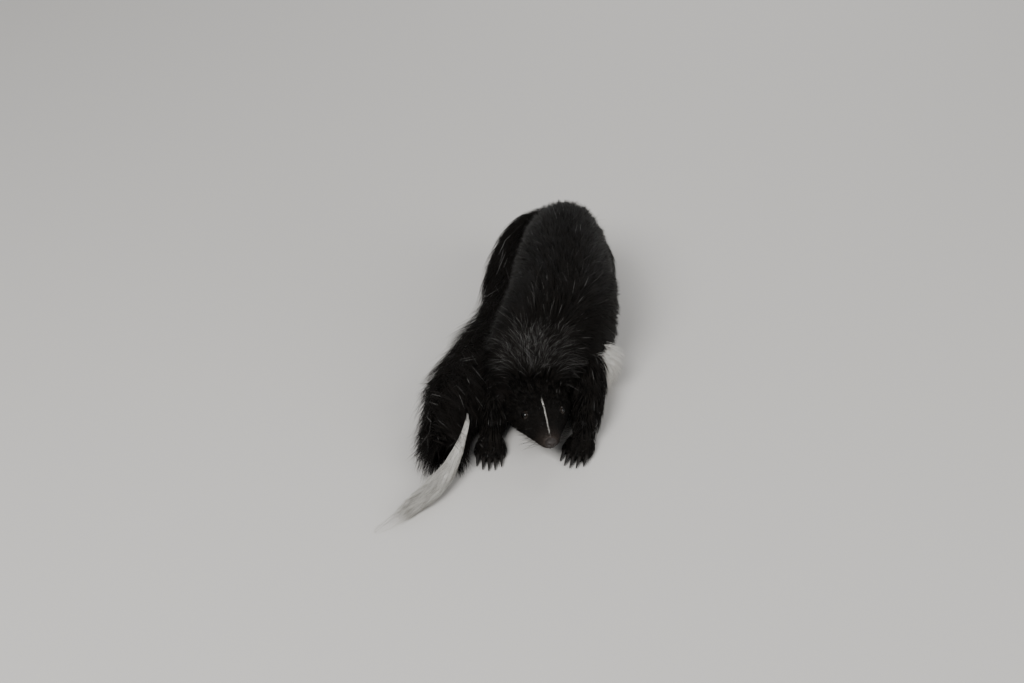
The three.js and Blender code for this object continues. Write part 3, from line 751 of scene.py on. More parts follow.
# %% [markdown]
# ## The coat
# A tuft starts as a thin cone of three sides. It is cut into rings, so that it can bend, and copied
# along thousands of short curves. Particle hair would be quicker to make, but it is lost in an export,
# and a real mesh can be checked like any other piece.

# %% One tuft
def tuft_pattern(rings):
    """A cone of three sides from 0 to 1, cut at the rings, as vertices and triangles."""
    bm = bmesh.new()
    bmesh.ops.create_cone(bm, cap_ends=True, segments=3, radius1=1, radius2=0, depth=1)
    bmesh.ops.translate(bm, verts=bm.verts, vec=(0, 0, 0.5))
    for ring in rings:
        everything = bm.verts[:] + bm.edges[:] + bm.faces[:]
        bmesh.ops.bisect_plane(bm, geom=everything, plane_co=(0, 0, ring), plane_no=(0, 0, 1))
    bmesh.ops.remove_doubles(bm, verts=bm.verts, dist=1e-5)
    bmesh.ops.triangulate(bm, faces=bm.faces)
    bmesh.ops.recalc_face_normals(bm, faces=bm.faces)
    spots = np.array([v.co for v in bm.verts])
    faces = np.array([[v.index for v in f.verts] for f in bm.faces])
    bm.free()
    shares = np.array([0, *rings, 1.0])
    station = np.abs(spots[:, 2:] - shares).argmin(1)
    radius = np.maximum(np.hypot(spots[:, 0], spots[:, 1]), 1e-9)
    across = np.where(station[:, None] == len(shares) - 1, 0, spots[:, :2] / radius[:, None])
    return {"shares": shares, "station": station, "across": across, "faces": faces}


LONG_TUFT = tuft_pattern((0.34, 0.7))
SHORT_TUFT = tuft_pattern((0.5,))
print("a long tuft:", len(LONG_TUFT["faces"]), "triangles; a short one:", len(SHORT_TUFT["faces"]))


# %% Scatter roots over a form
def slopes(form, u, angle, unit):
    """How a form's spot moves as u grows by unit and as the angle grows."""
    spot = form(u, angle)
    return spot, (form(u + unit, angle) - spot) / unit, (form(u, angle + 0.01) - spot) / 0.01


def scatter(form, count, u_range, angle_range, draw, density=None, unit=0.01, cells=(90, 60)):
    """Random roots on a form, even over its area or as dense as the density says."""
    u = np.linspace(*u_range, cells[0] + 1)
    a = np.linspace(*angle_range, cells[1] + 1)
    uu, aa = np.meshgrid((u[:-1] + u[1:]) / 2, (a[:-1] + a[1:]) / 2, indexing="ij")
    spots, by_u, by_a = slopes(form, uu.ravel(), aa.ravel(), unit)
    share = np.linalg.norm(np.cross(by_u, by_a), axis=1)
    if density is not None:
        share = share * density(spots, uu.ravel(), aa.ravel())
    picked = draw.choice(len(share), size=count, p=share / share.sum())
    row, column = np.divmod(picked, cells[1])
    return u[row] + draw.random(count) * (u[1] - u[0]), a[column] + draw.random(count) * (a[1] - a[0])


print("grid of", 90 * 60, "cells for each form")

# %% Lay a tuft along the skin
HEIGHT_BEND = 0.75
CLUMP_BEND = 1.4
FLOOR = 0.35
FARTHEST_TURN = 1.2


def uneven(by, count, draw):
    """Factors round 1, to make sizes uneven."""
    return 1 - by + 2 * by * draw.random(count)


def lay(form, u, angle, lie, length, lift, sink, pattern, draw,
        unit=0.01, clump=0.5, crowd=12, turn=0.16, fall=0):
    """Stations from root to tip for every tuft, in clumps whose tips draw together."""
    spot, by_u, by_a = slopes(form, u, angle, unit)
    count = len(u)
    centres = draw.choice(count, max(count // crowd, 1), replace=False)
    tree = KDTree(len(centres))
    for i, centre in enumerate(centres):
        tree.insert(spot[centre], i)
    tree.balance()
    group = np.array([tree.find(place)[1] for place in spot])
    shares = pattern["shares"]
    swing = turn * draw.normal(size=len(centres))[group] + 0.6 * turn * draw.normal(size=count)
    normal = np.cross(by_u, by_a)
    normal /= np.linalg.norm(normal, axis=1)[:, None]
    want = lie(spot, u, angle, normal)
    want = want - normal * (want * normal).sum(1)[:, None]
    want /= np.linalg.norm(want, axis=1)[:, None]
    want = want * np.cos(swing)[:, None] + np.cross(normal, want) * np.sin(swing)[:, None]
    length = length * uneven(0.15, len(centres), draw)[group] * uneven(0.15, count, draw)
    lift = lift * uneven(0.3, len(centres), draw)[group] * uneven(0.2, count, draw)
    uu, ua, aa = (by_u * by_u).sum(1), (by_u * by_a).sum(1), (by_a * by_a).sum(1)
    wu, wa = (want * by_u).sum(1), (want * by_a).sum(1)
    det = np.maximum(uu * aa - ua * ua, 1e-9)
    du = (wu * aa - wa * ua) / det * length
    da = np.clip((wa * uu - wu * ua) / det * length, -FARTHEST_TURN, FARTHEST_TURN)
    path_u = u[:, None] + du[:, None] * shares
    path_a = angle[:, None] + da[:, None] * shares
    flat, ahead, across = slopes(form, path_u, path_a, unit)
    out = np.cross(ahead, across)
    out /= np.maximum(np.linalg.norm(out, axis=2), 1e-9)[..., None]
    height = lift[:, None] * shares**HEIGHT_BEND
    height[:, 0] = -sink
    stations = flat + out * height[..., None]
    own = centres[group]
    pull = (clump * shares**CLUMP_BEND)[None, :, None]
    stations = stations * (1 - pull) + stations[own] * pull
    stations[..., 2] -= fall * shares**2
    stations[:, 1:, 2] = np.maximum(stations[:, 1:, 2], FLOOR)
    return stations, out, group


# %% Join the tufts of a piece
INSIDE = 0.05
LOWEST = np.array(cad_box[0]) / MM - np.array(origin) + INSIDE
HIGHEST = np.array(cad_box[1]) / MM - np.array(origin) - INSIDE
PATCH_HALF = 0.0015


# The default share of silver-tipped tufts, used on the feet and the ears, gives painted glints.
def tufts(stations, out, group, pattern, width, thick, draw, white=None, frost=0.02):
    """Vertices and masks for all the tufts that were laid."""
    ahead = np.gradient(stations, axis=1)
    ahead /= np.maximum(np.linalg.norm(ahead, axis=2), 1e-9)[..., None]
    side = np.cross(ahead, out)
    side /= np.maximum(np.linalg.norm(side, axis=2), 1e-9)[..., None]
    over = np.cross(side, ahead)
    count = len(stations)
    share = pattern["shares"]
    taper = np.clip(1 - share**1.6, 0, 1) * (0.75 + 0.25 * np.minimum(share * 6, 1))
    station = pattern["station"]
    half_width = (np.broadcast_to(width, count) / 2)[:, None, None] * taper[station][None, :, None]
    half_thick = (np.broadcast_to(thick, count) / 2)[:, None, None] * taper[station][None, :, None]
    across = pattern["across"][None]
    spots = (
        stations[:, station]
        + side[:, station] * across[..., :1] * half_width
        + over[:, station] * across[..., 1:] * half_thick
    )
    spots = np.clip(spots, LOWEST, HIGHEST)
    tone = 0.55 * draw.random(group.max() + 1)[group] + 0.45 * draw.random(count)
    masks = markings(stations[:, 0])
    white = masks[0] if white is None else np.broadcast_to(white, count)
    # A share of the tufts gets silver tips: real silver guard hairs on the nape, painted glints everywhere else.
    frost = np.where(draw.random(count) < frost, 0.4 + 0.6 * draw.random(count), 0)
    return {"roots": stations[:, 0], "spots": spots, "pattern": pattern,
            "tone": tone, "white": white, "frost": frost, "brown": masks[1]}


def part_of(batch, chosen):
    """The chosen tufts of a batch."""
    return {key: value if key == "pattern" else value[chosen] for key, value in batch.items()}


def coat_piece(name, batches):
    """One mesh from batches of tufts, with its masks and its patches of the skin's unwrap."""
    places, faces, patches = [], [], []
    masks = {"along": [], "tone": [], "white": [], "frost": [], "brown": []}
    start = 0
    for batch in batches:
        pattern = batch["pattern"]
        count, corners = batch["spots"].shape[:2]
        places.append(batch["spots"].reshape(-1, 3))
        first = start + corners * np.arange(count)[:, None, None]
        faces.append((pattern["faces"][None] + first).reshape(-1, 3))
        start += count * corners
        along = pattern["shares"][pattern["station"]]
        masks["along"].append(np.tile(along, count))
        for key in ("tone", "white", "frost", "brown"):
            masks[key].append(np.repeat(batch[key], corners))
        roots = to_frame(batch["roots"])
        home = skin_uv[[skin_tree.find(root)[1] for root in roots]]
        spread = PATCH_HALF * np.stack([pattern["across"][:, 0], 2 * along - 1], 1)
        patches.append((np.clip(home, 0.002, 0.998)[:, None] + spread[None]).reshape(-1, 2))
    places, faces, patches = np.vstack(places), np.vstack(faces), np.vstack(patches)
    mesh = bpy.data.meshes.new(name)
    mesh.vertices.add(len(places))
    mesh.vertices.foreach_set("co", to_frame(places).astype(np.float32).ravel())
    mesh.loops.add(faces.size)
    mesh.loops.foreach_set("vertex_index", faces.astype(np.int32).ravel())
    mesh.polygons.add(len(faces))
    mesh.polygons.foreach_set("loop_start", np.arange(0, faces.size, 3, dtype=np.int32))
    mesh.update(calc_edges=True)
    mesh.shade_smooth()
    layer = mesh.uv_layers.new(name="OFBake")
    layer.data.foreach_set("uv", patches[faces.ravel()].astype(np.float32).ravel())
    for key, values in masks.items():
        attribute = mesh.attributes.new(key, "FLOAT", "POINT")
        attribute.data.foreach_set("value", np.concatenate(values).astype(np.float32))
    piece = bpy.data.objects.new(name, mesh)
    bpy.context.scene.collection.objects.link(piece)
    print(name + ":", len(faces), "triangles")
    return piece


def towards(x, y, z):
    """A lie of the coat that is the same all over."""
    return lambda spot, u, angle, normal: np.broadcast_to(np.array([x, y, z], float), spot.shape)


def along_line(line, fall=0.0):
    """A lie that follows a line to its end and falls a little."""
    return lambda spot, u, angle, normal: line["ahead"][sample_at(line, u)] - np.array([0, 0, fall])


# %% [markdown]
# ### Body, neck and legs
# The hair lies back along the body and falls down its sides. Neck and body are scattered as one, so no
# step shows between them, and are cut into pieces only afterwards. On the nape thin silvery guard hairs
# stand up through the black; a few silver-tipped tufts high on the back and over the rest of the coat are
# painted glints. Under the belly there is less hair, as nobody sees it there.

# %% How the coat is scattered, laid and joined
draw = np.random.default_rng(7)
TURN = (math.radians(-90), math.radians(270))
FLATNESS = 0.45


def coat_over(form, count, u_range, lie, length, lift, width, angle_range=TURN, pattern=SHORT_TUFT, **more):
    """Scatter, lay and join tufts over a part of a form."""
    unit = more.pop("unit", 0.01)
    density = more.pop("density", None)
    marks = {key: more.pop(key) for key in ("white", "frost") if key in more}
    keep = more.pop("keep", None)
    sink = more.pop("sink", 1.2)
    u, angle = scatter(form, count, u_range, angle_range, draw, density, unit)
    if keep is not None:
        kept = keep(form(u, angle))
        u, angle = u[kept], angle[kept]
    value = lambda size: size(u, angle) if callable(size) else np.full(len(u), float(size))
    laid = lay(form, u, angle, lie, value(length), value(lift), sink, pattern, draw, unit, **more)
    wide = value(width) * uneven(0.25, len(u), draw)
    return tufts(*laid, pattern, wide, wide * FLATNESS, draw, **marks)


def table(rows):
    """A size that a table gives along a form."""
    return lambda u, angle: row_at(rows, u)[:, 1].reshape(np.shape(u))


print("patches of the unwrap reach", 2 * PATCH_HALF, "across")

# %% Coat of neck and body
BODY_REACH = (50, 262)
BODY_LENGTH = table([[50, 13], [62, 15], [78, 18], [100, 20], [140, 23], [200, 26], [262, 27]])
BODY_LIFT = table([[50, 5.5], [60, 8.5], [70, 10], [95, 9], [140, 8.4], [262, 8.4]])
BODY_WIDTH = table([[50, 0.75], [80, 0.85], [150, 0.95], [262, 1.05]])
BODY_PIECES = [("coat_neck", 78), ("coat_shoulders", 140), ("coat_loins", 200), ("coat_rump", 300)]


def body_form(y, angle):
    return body_spot(np.minimum(y, BODY_ENDS[1] - 10), angle, BODY_DEPTH - 0.5)


def body_lie(spot, u, angle, normal):
    """Back along the spine, and down the sides by up to 40 degrees."""
    fall = np.radians(40) * np.abs(np.cos(angle)) + 0.1
    return np.stack([0 * fall, np.cos(fall), -np.sin(fall)], 1)


def above(spots, u, angle):
    """Less hair under the belly and near the floor, more on the neck."""
    thick = 1 + 0.5 * np.exp(-(((u - 75) / 25) ** 2))
    return np.where(np.sin(angle) < -0.5, 0.2, 1.0) * np.where(spots[:, 2] < 12, 0.5, 1) * thick


def in_leg(spots):
    """Is a spot of the body's surface hidden inside a foreleg or a thigh?"""
    inside = np.zeros(len(spots), bool)
    for line in [*foreleg_lines.values(), *thigh_lines.values()]:
        for i in range(0, len(line["place"]), 12):
            inside |= np.linalg.norm(spots - line["place"][i], axis=1) < line["radius"][i] - LEG_DEPTH - 1
    return inside


def nape(spots, u, angle):
    """Silvery guard hairs are densest on the middle of the nape; the sparse ones high over the back are painted
    glints.
    """
    middle = np.exp(-(((angle - math.radians(92)) / math.radians(32)) ** 2))
    along = np.exp(-(((u - 63) / np.where(u < 63, 8, 12)) ** 2))
    return along * middle + 0.018 * smooth(60, 95, spots[:, 2])


# The few silver-tipped tufts in the body's black coat are painted glints.
body_hair = coat_over(
    body_form, count=46000, u_range=BODY_REACH, lie=body_lie, length=BODY_LENGTH, lift=BODY_LIFT, width=BODY_WIDTH,
    unit=0.5, density=above, keep=lambda spots: ~in_leg(spots), clump=0.25, crowd=7, frost=0.006,
)
# Silver guard hairs on the nape; those high over the back are painted glints.
guard_hair = coat_over(
    body_form, count=2400, u_range=(51, 200), lie=body_lie, length=12, lift=13, width=0.25,
    angle_range=(math.radians(15), math.radians(165)), unit=0.5, density=nape, clump=0.05, turn=0.45, frost=0.32,
)
body_coats = []
start = 0
for name, end in BODY_PIECES:
    between = lambda hair: (hair["roots"][:, 1] >= start) & (hair["roots"][:, 1] < end)
    body_coats.append(coat_piece(name, [part_of(hair, between(hair)) for hair in (body_hair, guard_hair)]))
    start = end

# %% Coat of the legs
# The few silver-tipped tufts on the legs are painted glints.
LEG_HAIR = {"lift": 4.6, "width": 0.95, "clump": 0.3, "crowd": 9, "frost": 0.008}
LEG_FALL = 0.35
legs = []
for name in ("right", "left"):
    for lines, count, long in ((foreleg_lines, 2700, 18), (thigh_lines, 2000, 18), (shank_lines, 1300, 13)):
        line = lines[name]
        form = lambda t, angle, line=line: tube_spot(line, t, angle, LEG_DEPTH)
        legs.append(coat_over(form, count, (0.12, 0.97), along_line(line, LEG_FALL), long, **LEG_HAIR))
coat_legs = coat_piece("coat_legs", legs)

# %% Coat of the feet
SOLE_HAIR = {"count": 1150, "u_range": (0.04, 0.62), "length": 9.5, "lift": 2.2, "width": 0.65, "sink": 0.6}
TOE_HAIR = {"count": 270, "u_range": (0.04, 0.6), "length": 7.5, "lift": 1.7, "width": 0.5, "sink": 0.4}


def oval_form(oval):
    return lambda s, a: ball_spots(s.ravel(), a.ravel(), *oval).reshape(*np.shape(s), 3)


foot_tufts = []
for place, size in feet:
    forward = turned([[0, -1, -0.25]], foot_turn(place).to_3x3().to_4x4())[0]
    ovals = [(sole_of(place, size), SOLE_HAIR), *((toe_of(place, size, toe), TOE_HAIR) for toe in TOES)]
    for oval, hair_size in ovals:
        form, ahead = oval_form(oval), towards(*forward)
        foot_tufts.append(coat_over(form, lie=ahead, angle_range=(0, 2 * math.pi), **hair_size))
coat_feet = coat_piece("coat_feet", foot_tufts)

# %% [markdown]
# ### The tail
# The tail's hair is the longest of all. It leaves the thin tail on every side and sweeps towards its
# end, so the plume is several times as wide as the flesh. Where it meets the floor it lies flat.

# %% Coat of the tail
TAIL_LIFT = 18.5


def tail_form(t, angle):
    radius = tail_line["radius"][sample_at(tail_line, t)]
    return tube_spot(tail_line, t, angle, radius * (1 - TAIL_SKIN) + 0.3)


def near_tuft(t, angle):
    """1 where the white tuft leaves the upper inner side of the tail, 0 far from it."""
    away = np.angle(np.exp(1j * (angle - math.radians(125))))
    return smooth(0.76, 0.9, t) * np.exp(-((away / math.radians(55)) ** 2))


def tail_lift(t, angle):
    """The plume is widest towards its end, on top and on the outer side, and flat beside the tuft."""
    share = 0.5 + 0.5 * smooth(0.15, 0.6, t)
    outer = 0.45 * smooth(0.6, 0.85, t) * np.clip(np.cos(angle), 0, 1)
    return (TAIL_LIFT * share) * (0.75 + 0.25 * np.sin(angle) + outer) * (1 - 0.72 * near_tuft(t, angle))


def tail_length(t, angle):
    return (40 + 12 * smooth(0.15, 0.6, t)) * np.where(t > 0.9, 0.8, 1) * (1 - 0.45 * near_tuft(t, angle))


def upper(spots, u, angle):
    return np.where(np.sin(angle) < -0.3, 0.35, 1.0)


TAIL_PIECES = [
    ("coat_tail_base", 8200, (0.05, 0.42)),
    ("coat_tail_middle", 8600, (0.42, 0.72)),
    ("coat_tail_end", 8600, (0.72, 0.985)),
]
TAIL_HAIR = [(0.45, 1.1, LONG_TUFT), (0.55, 0.85, SHORT_TUFT)]
tail_coats = []
# The few silver-tipped tufts on the tail are painted glints.
for name, count, reach in TAIL_PIECES:
    batches = [
        coat_over(
            tail_form, int(count * share), reach, along_line(tail_line), tail_length, tail_lift, wide,
            pattern=pattern, density=upper, clump=0.4, turn=0.2, frost=0.01, white=0.0,
        )
        for share, wide, pattern in TAIL_HAIR
    ]
    tail_coats.append(coat_piece(name, batches))

# %% The white tuft
def tuft_form(t, angle):
    radius = tuft_line["radius"][sample_at(tuft_line, t)]
    return tube_spot(tuft_line, t, angle, radius * (1 - TUFT_SKIN) + 0.2)


def tuft_lift(t, angle):
    return 0.8 + 3.7 * smooth(0.1, 0.45, t)


def thinning(spots, t, angle):
    return (0.4 + 0.6 * smooth(0.05, 0.25, t)) * (1 - 0.9 * smooth(0.35, 0.84, t))


TUFT_HAIR = [
    {"count": 4600, "u_range": (0.06, 0.84), "width": 0.4, "pattern": SHORT_TUFT, "clump": 0.6, "crowd": 14,
     "turn": 0.09},
    {"count": 2400, "u_range": (0.06, 0.92), "width": 0.26, "pattern": LONG_TUFT, "clump": 0.4, "crowd": 6,
     "turn": 0.12},
]
white_hair = [
    coat_over(
        tuft_form, lie=along_line(tuft_line), length=lambda t, angle: 41 - 14 * t, lift=tuft_lift,
        density=thinning, frost=0.0, white=1.0, sink=0.8, **sizes,
    )
    for sizes in TUFT_HAIR
]
coat_tuft = coat_piece("coat_white_tuft", white_hair)

# %% The white patch behind the left foreleg
patch_hair = coat_over(
    body_form, count=3200, u_range=(81, 103), lie=towards(0.6, 0.05, -0.8), length=16, lift=20, width=0.5,
    angle_range=(math.radians(-36), math.radians(3)), pattern=LONG_TUFT, unit=0.5, clump=0.2, crowd=9, turn=0.5,
    fall=8, frost=0.0, white=1.0,
)
patch_hair["tone"] *= 0.45
coat_patch = coat_piece("coat_white_patch", [patch_hair])

# %% [markdown]
# ### The head
# The shortest hair is on the muzzle, and it grows longer towards the nape. It lies back from the nose,
# and leaves the eyes, the nose pad, the line of the mouth and the cups of the ears free.

# %% Coat of the head
NOSE = {"back": 4, "up": 0.5, "half": (4.7, 4, 3.9)}
FACE_LENGTH = table([[0, 1.6], [10, 2.4], [24, 4], [38, 8], [54, 13], [68, 18], [84, 20]])
FACE_LIFT = table([[0, 0.5], [12, 0.75], [27, 1.3], [40, 2.8], [54, 4.8], [68, 6.5], [84, 7]])
FACE_WIDTH = table([[0, 0.34], [24, 0.42], [40, 0.62], [60, 0.85], [84, 1]])


def head_form(back, angle):
    back = np.asarray(back, float)
    return head_spot(back, angle, head_depth(back.ravel()).reshape(back.shape) + 0.2)


def head_lie(spot, u, angle, normal):
    """Back from the nose, and down the cheeks towards the nape."""
    back_way = np.array(head_turn)[:3, 1]
    fall = 0.45 * smooth(18, 50, u) * np.abs(np.cos(angle))
    return back_way[None] * 1.0 + np.stack([0 * fall, 0 * fall, -fall], 1)


def face_free(spots):
    """Roots that leave the eyes, the mouth, the nose pad and the white line free."""
    free = np.ones(len(spots), bool)
    for eye in eyes.values():
        gap = spots - eye["centre"]
        opening = np.hypot(gap @ eye["slit"] / (LID_OPEN[0] + 0.5), gap @ eye["over"] / (LID_OPEN[1] + 0.5))
        free &= (opening > 1) | (np.linalg.norm(gap, axis=1) > 7)
    for line in mouths.values():
        free &= near_line(spots, line) > 0.5
    x, back, z = in_head(spots).T
    free &= (np.abs(x) > stripe_half(back) + 0.3) | (back < STRIPE["from"]) | (back > STRIPE["to"]) | (z < 0)
    pad = np.array([x, back - NOSE["back"], z - NOSE["up"]]) / np.array(NOSE["half"])[:, None]
    return free & (np.linalg.norm(pad, axis=0) > 1.06)


def out_of_ears(spots):
    free = np.ones(len(spots), bool)
    for side in SIDES.values():
        local = turned(spots, ear_turn(side).inverted())
        free &= np.linalg.norm(local / np.array(EAR["half"]), axis=1) > 0.95
    return free


HEAD_HAIR = {"length": FACE_LENGTH, "lift": FACE_LIFT, "width": FACE_WIDTH, "lie": head_lie, "unit": 0.2}
# The few silver-tipped tufts on the face are painted glints.
face = coat_over(
    head_form, count=16500, u_range=(2, 34), keep=face_free, clump=0.2, crowd=8, turn=0.12, sink=0.35, frost=0.005,
    **HEAD_HAIR,
)
line_hair = coat_over(
    head_form, count=330, u_range=(STRIPE["from"] + 1, STRIPE["to"] + 1), lie=head_lie, length=4.2, lift=1.4,
    width=0.48, angle_range=(math.radians(88.6), math.radians(91.4)), unit=0.2, clump=0, turn=0.03, sink=0.35,
    frost=0,
)
coat_face = coat_piece("coat_face", [face, line_hair])
# The few silver-tipped tufts on the crown are painted glints.
crown = coat_over(
    head_form, count=15000, u_range=(32, 78), keep=lambda spots: face_free(spots) & out_of_ears(spots), clump=0.3,
    crowd=9, sink=0.8, frost=0.006, **HEAD_HAIR,
)
coat_head = coat_piece("coat_head", [crown])

# %% Down on the ears
EAR_BACK = {"count": 1200, "u_range": (0.06, 0.5), "lift": -1.0, "width": 0.55, "sink": -0.3}
EAR_CUP = {"count": 900, "u_range": (0.5, 0.9), "lift": 1.2, "width": 0.4, "sink": 0.2}
ear_down = []
for side in SIDES.values():
    form = lambda share, angle, side=side: ear_spot(share, angle, side)
    outward = turned([[0, 0.3, 1]], ear_turn(side).to_3x3().to_4x4())[0]
    for sizes in (EAR_BACK, EAR_CUP):
        ear_down.append(coat_over(form, lie=towards(*outward), length=4.5, clump=0.3, **sizes))
coat_ears = coat_piece("coat_ears", ear_down)

# %% [markdown]
# ### The tops of the thighs
# A thigh starts as a rounded end against the flank, which the rows along the leg don't reach, and the
# body's own hair was left out inside the leg. So hair is laid over the rounded end, and the body's hair is
# put back there; most of it is hidden, and what shows closes the gap behind the thigh.

# %% Coat over the round tops of the thighs
# The few silver-tipped tufts on the thigh tops and the flank behind them are painted glints.
tops = []
for line in thigh_lines.values():
    form = lambda share, angle, line=line: closed_tube(line, np.clip(share, 0.002, 0.998), angle, LEG_DEPTH)
    tops.append(coat_over(form, 1500, (0.01, 0.32), along_line(line, LEG_FALL), length=16, white=0.0, **LEG_HAIR))
tops.append(coat_over(
    body_form, count=15000, u_range=(170, 262), lie=body_lie, length=BODY_LENGTH, lift=BODY_LIFT, width=BODY_WIDTH,
    unit=0.5, keep=in_leg, clump=0.25, crowd=7, frost=0.006, white=0.0,
))
coat_thighs = coat_piece("coat_thighs", tops)

# %% [markdown]
# ## Eyes, nose, claws and whiskers
# These stay hard or bare, so they are pieces of their own. The eye is one wet ball with a dark iris; the
# nose pad is a ball pressed in at the nostrils and at the groove between them.

# %% Eyes
bm = bmesh.new()
for eye in eyes.values():
    turn = np.eye(4)
    turn[:3] = np.stack([eye["slit"], eye["over"], eye["normal"], eye["centre"]], 1)
    ball_into(bm, 48, 32, lambda s, a, turn=turn: ball_spots(s, a, [EYE["radius"]] * 3, turn))
bmesh.ops.recalc_face_normals(bm, faces=bm.faces)
bm.transform(Matrix.Scale(MM, 4) @ Matrix.Translation(origin))
eye_piece = piece_from(bm, "eyes")
eye_piece.data.shade_smooth()
facing = eye_piece.data.attributes.new("facing", "FLOAT", "POINT")
eye_places = np.array([v.co for v in eye_piece.data.vertices]) / MM - np.array(origin)
which = [min(eyes.values(), key=lambda e: np.linalg.norm(place - e["centre"])) for place in eye_places]
facing.data.foreach_set("value", [
    float((place - e["centre"]).dot(e["normal"]) / EYE["radius"]) for place, e in zip(eye_places, which)
])
print("eyes:", len(eye_piece.data.polygons), "faces")

# %% Nose
NOSTRIL = {"side": 2.2, "up": 0.3, "half_width": 1.1, "half_height": 0.9, "deep": 1.4}
SLIT = {"side": 2.4, "slope": 0.35, "half": 0.4, "from": (2.3, 3.1), "deep": 0.7}
GROOVE = {"half": 0.4, "top": (-0.6, 0.6), "deep": 0.5}


def nose_spot(share, angle):
    """The pad, pressed in at two nostrils, at their slits and along the groove under them."""
    x = np.sin(np.pi * share) * np.cos(angle)
    y = np.sin(np.pi * share) * np.sin(angle)
    z = np.cos(np.pi * share)
    half = NOSE["half"]
    side, up = np.abs(x) * half[0], z * half[2]
    off_side, off_up = side - NOSTRIL["side"], up - NOSTRIL["up"]
    hole = np.exp(-((off_side / NOSTRIL["half_width"]) ** 2) - (off_up / NOSTRIL["half_height"]) ** 2)
    below = off_up + SLIT["slope"] * (side - SLIT["side"])
    slit = np.exp(-((below / SLIT["half"]) ** 2)) * smooth(*SLIT["from"], side)
    groove = np.exp(-((side / GROOVE["half"]) ** 2)) * (1 - smooth(*GROOVE["top"], up))
    press = NOSTRIL["deep"] * hole + SLIT["deep"] * slit + GROOVE["deep"] * groove
    far = 1 - np.where(y < 0, press, 0) / np.linalg.norm(half) * 1.7
    spots = np.stack([x * half[0] * far, NOSE["back"] + y * half[1] * far, NOSE["up"] + z * half[2] * far], 1)
    return turned(spots, head_turn)


bm = bmesh.new()
ball_into(bm, 72, 48, nose_spot)
bmesh.ops.recalc_face_normals(bm, faces=bm.faces)
bm.transform(Matrix.Scale(MM, 4) @ Matrix.Translation(origin))
nose_piece = piece_from(bm, "nose_pad")
nose_piece.data.shade_smooth()
print("nose:", len(nose_piece.data.polygons), "faces")

# %% Claws
FORECLAW = {"length": 12.5, "radius": 1.5, "sink": 3.5, "tip": 0.8}
HINDCLAW = {"length": 8, "radius": 1.4, "sink": 3, "tip": 0.8}
bm = bmesh.new()
for (place, size), horn in zip(feet, (FORECLAW, FORECLAW, HINDCLAW, HINDCLAW)):
    for toe in TOES:
        front = toe_front(size, toe) + horn["sink"]
        x = toe * size["spread"]
        line = np.array([
            [x, front, size["toe_radius"] + 1, horn["radius"] * 0.7],
            [x, front - horn["sink"], size["toe_radius"] + 0.9, horn["radius"]],
            [x * 1.04, front - horn["length"] * 0.7, size["toe_radius"] - 0.3, horn["radius"] * 0.66],
            [x * 1.06, front - horn["length"], horn["tip"] + 0.3, 0.3],
        ])
        line[:, :3] = turned(line[:, :3], foot_turn(place))
        ball_into(bm, 12, 14, lambda s, a, line=tube_line(line, 60): closed_tube(line, s, a, 0))
bmesh.ops.recalc_face_normals(bm, faces=bm.faces)
bm.transform(Matrix.Scale(MM, 4) @ Matrix.Translation(origin))
claw_piece = piece_from(bm, "claws")
claw_piece.data.shade_smooth()
print("claws:", len(claw_piece.data.polygons), "faces")

# %% Whiskers
WHISKERS = {
    "rows": 3, "each": 6, "length": 21, "width": 0.32, "back": 9, "apart": 2.4, "lowest": -24, "row": 12,
}
draw = np.random.default_rng(23)
strands = []
for side in SIDES.values():
    row, place = np.meshgrid(np.arange(WHISKERS["rows"]), np.arange(WHISKERS["each"]))
    back = WHISKERS["back"] + WHISKERS["apart"] * place.ravel() + draw.normal(size=row.size) * 0.5
    turn = WHISKERS["lowest"] + WHISKERS["row"] * row.ravel() + draw.normal(size=row.size) * 2
    angle = head_angle(side, turn)
    root = head_form(back, angle)
    normal = head_normal(back, angle)
    back_way, down_way = np.array(head_turn)[:3, 1], np.array([0, 0, -1.0])
    shares = LONG_TUFT["shares"][None, :, None]
    long = WHISKERS["length"] * (0.6 + 0.4 * draw.random(row.size))[:, None, None]
    aim = normal * 0.75 + back_way * 0.55 + 0.08 * draw.normal(size=normal.shape)
    stations = root[:, None] + long * (aim[:, None] * shares + (back_way * 0.25 + down_way * 0.22) * shares**2)
    stations[..., 2] = np.maximum(stations[..., 2], FLOOR)
    out = np.broadcast_to(np.array([0, 0, 1.0]), stations.shape)
    wide = WHISKERS["width"]
    strands.append(tufts(stations, out, np.arange(row.size), LONG_TUFT, wide, wide, draw, white=0.0, frost=0.0))
whiskers = coat_piece("whiskers", strands)

# %% [markdown]
# ## Finishes
# All hair shares one group of nodes. It takes the masks that skin and tufts carry, white, silver guard hairs and
# painted glints, how far along the hair and a tone that differs from tuft to tuft, and mixes the coat's colours by
# them.

# %% The masks on the skin
skin_mm = skin_places / MM - np.array(origin)
skin_white, skin_brown = markings(skin_mm)
skin_ear = np.zeros(len(skin_mm))
for side in SIDES.values():
    local = turned(skin_mm, ear_turn(side).inverted())
    inside = 1 - smooth(0.85, 1.15, np.linalg.norm(local / np.array(EAR["half"]), axis=1))
    skin_ear = np.maximum(skin_ear, inside)
for key, values in {
    "white": skin_white,
    "frost": np.zeros(len(skin_mm)),
    "along": np.full(len(skin_mm), 0.1),
    "tone": np.full(len(skin_mm), 0.3),
    "brown": skin_brown,
    "ear": skin_ear,
}.items():
    skin.data.attributes.new(key, "FLOAT", "POINT").data.foreach_set("value", values.astype(np.float32))
skin.data.shade_smooth()
print("white on the skin:", int((skin_white > 0.5).sum()), "vertices")


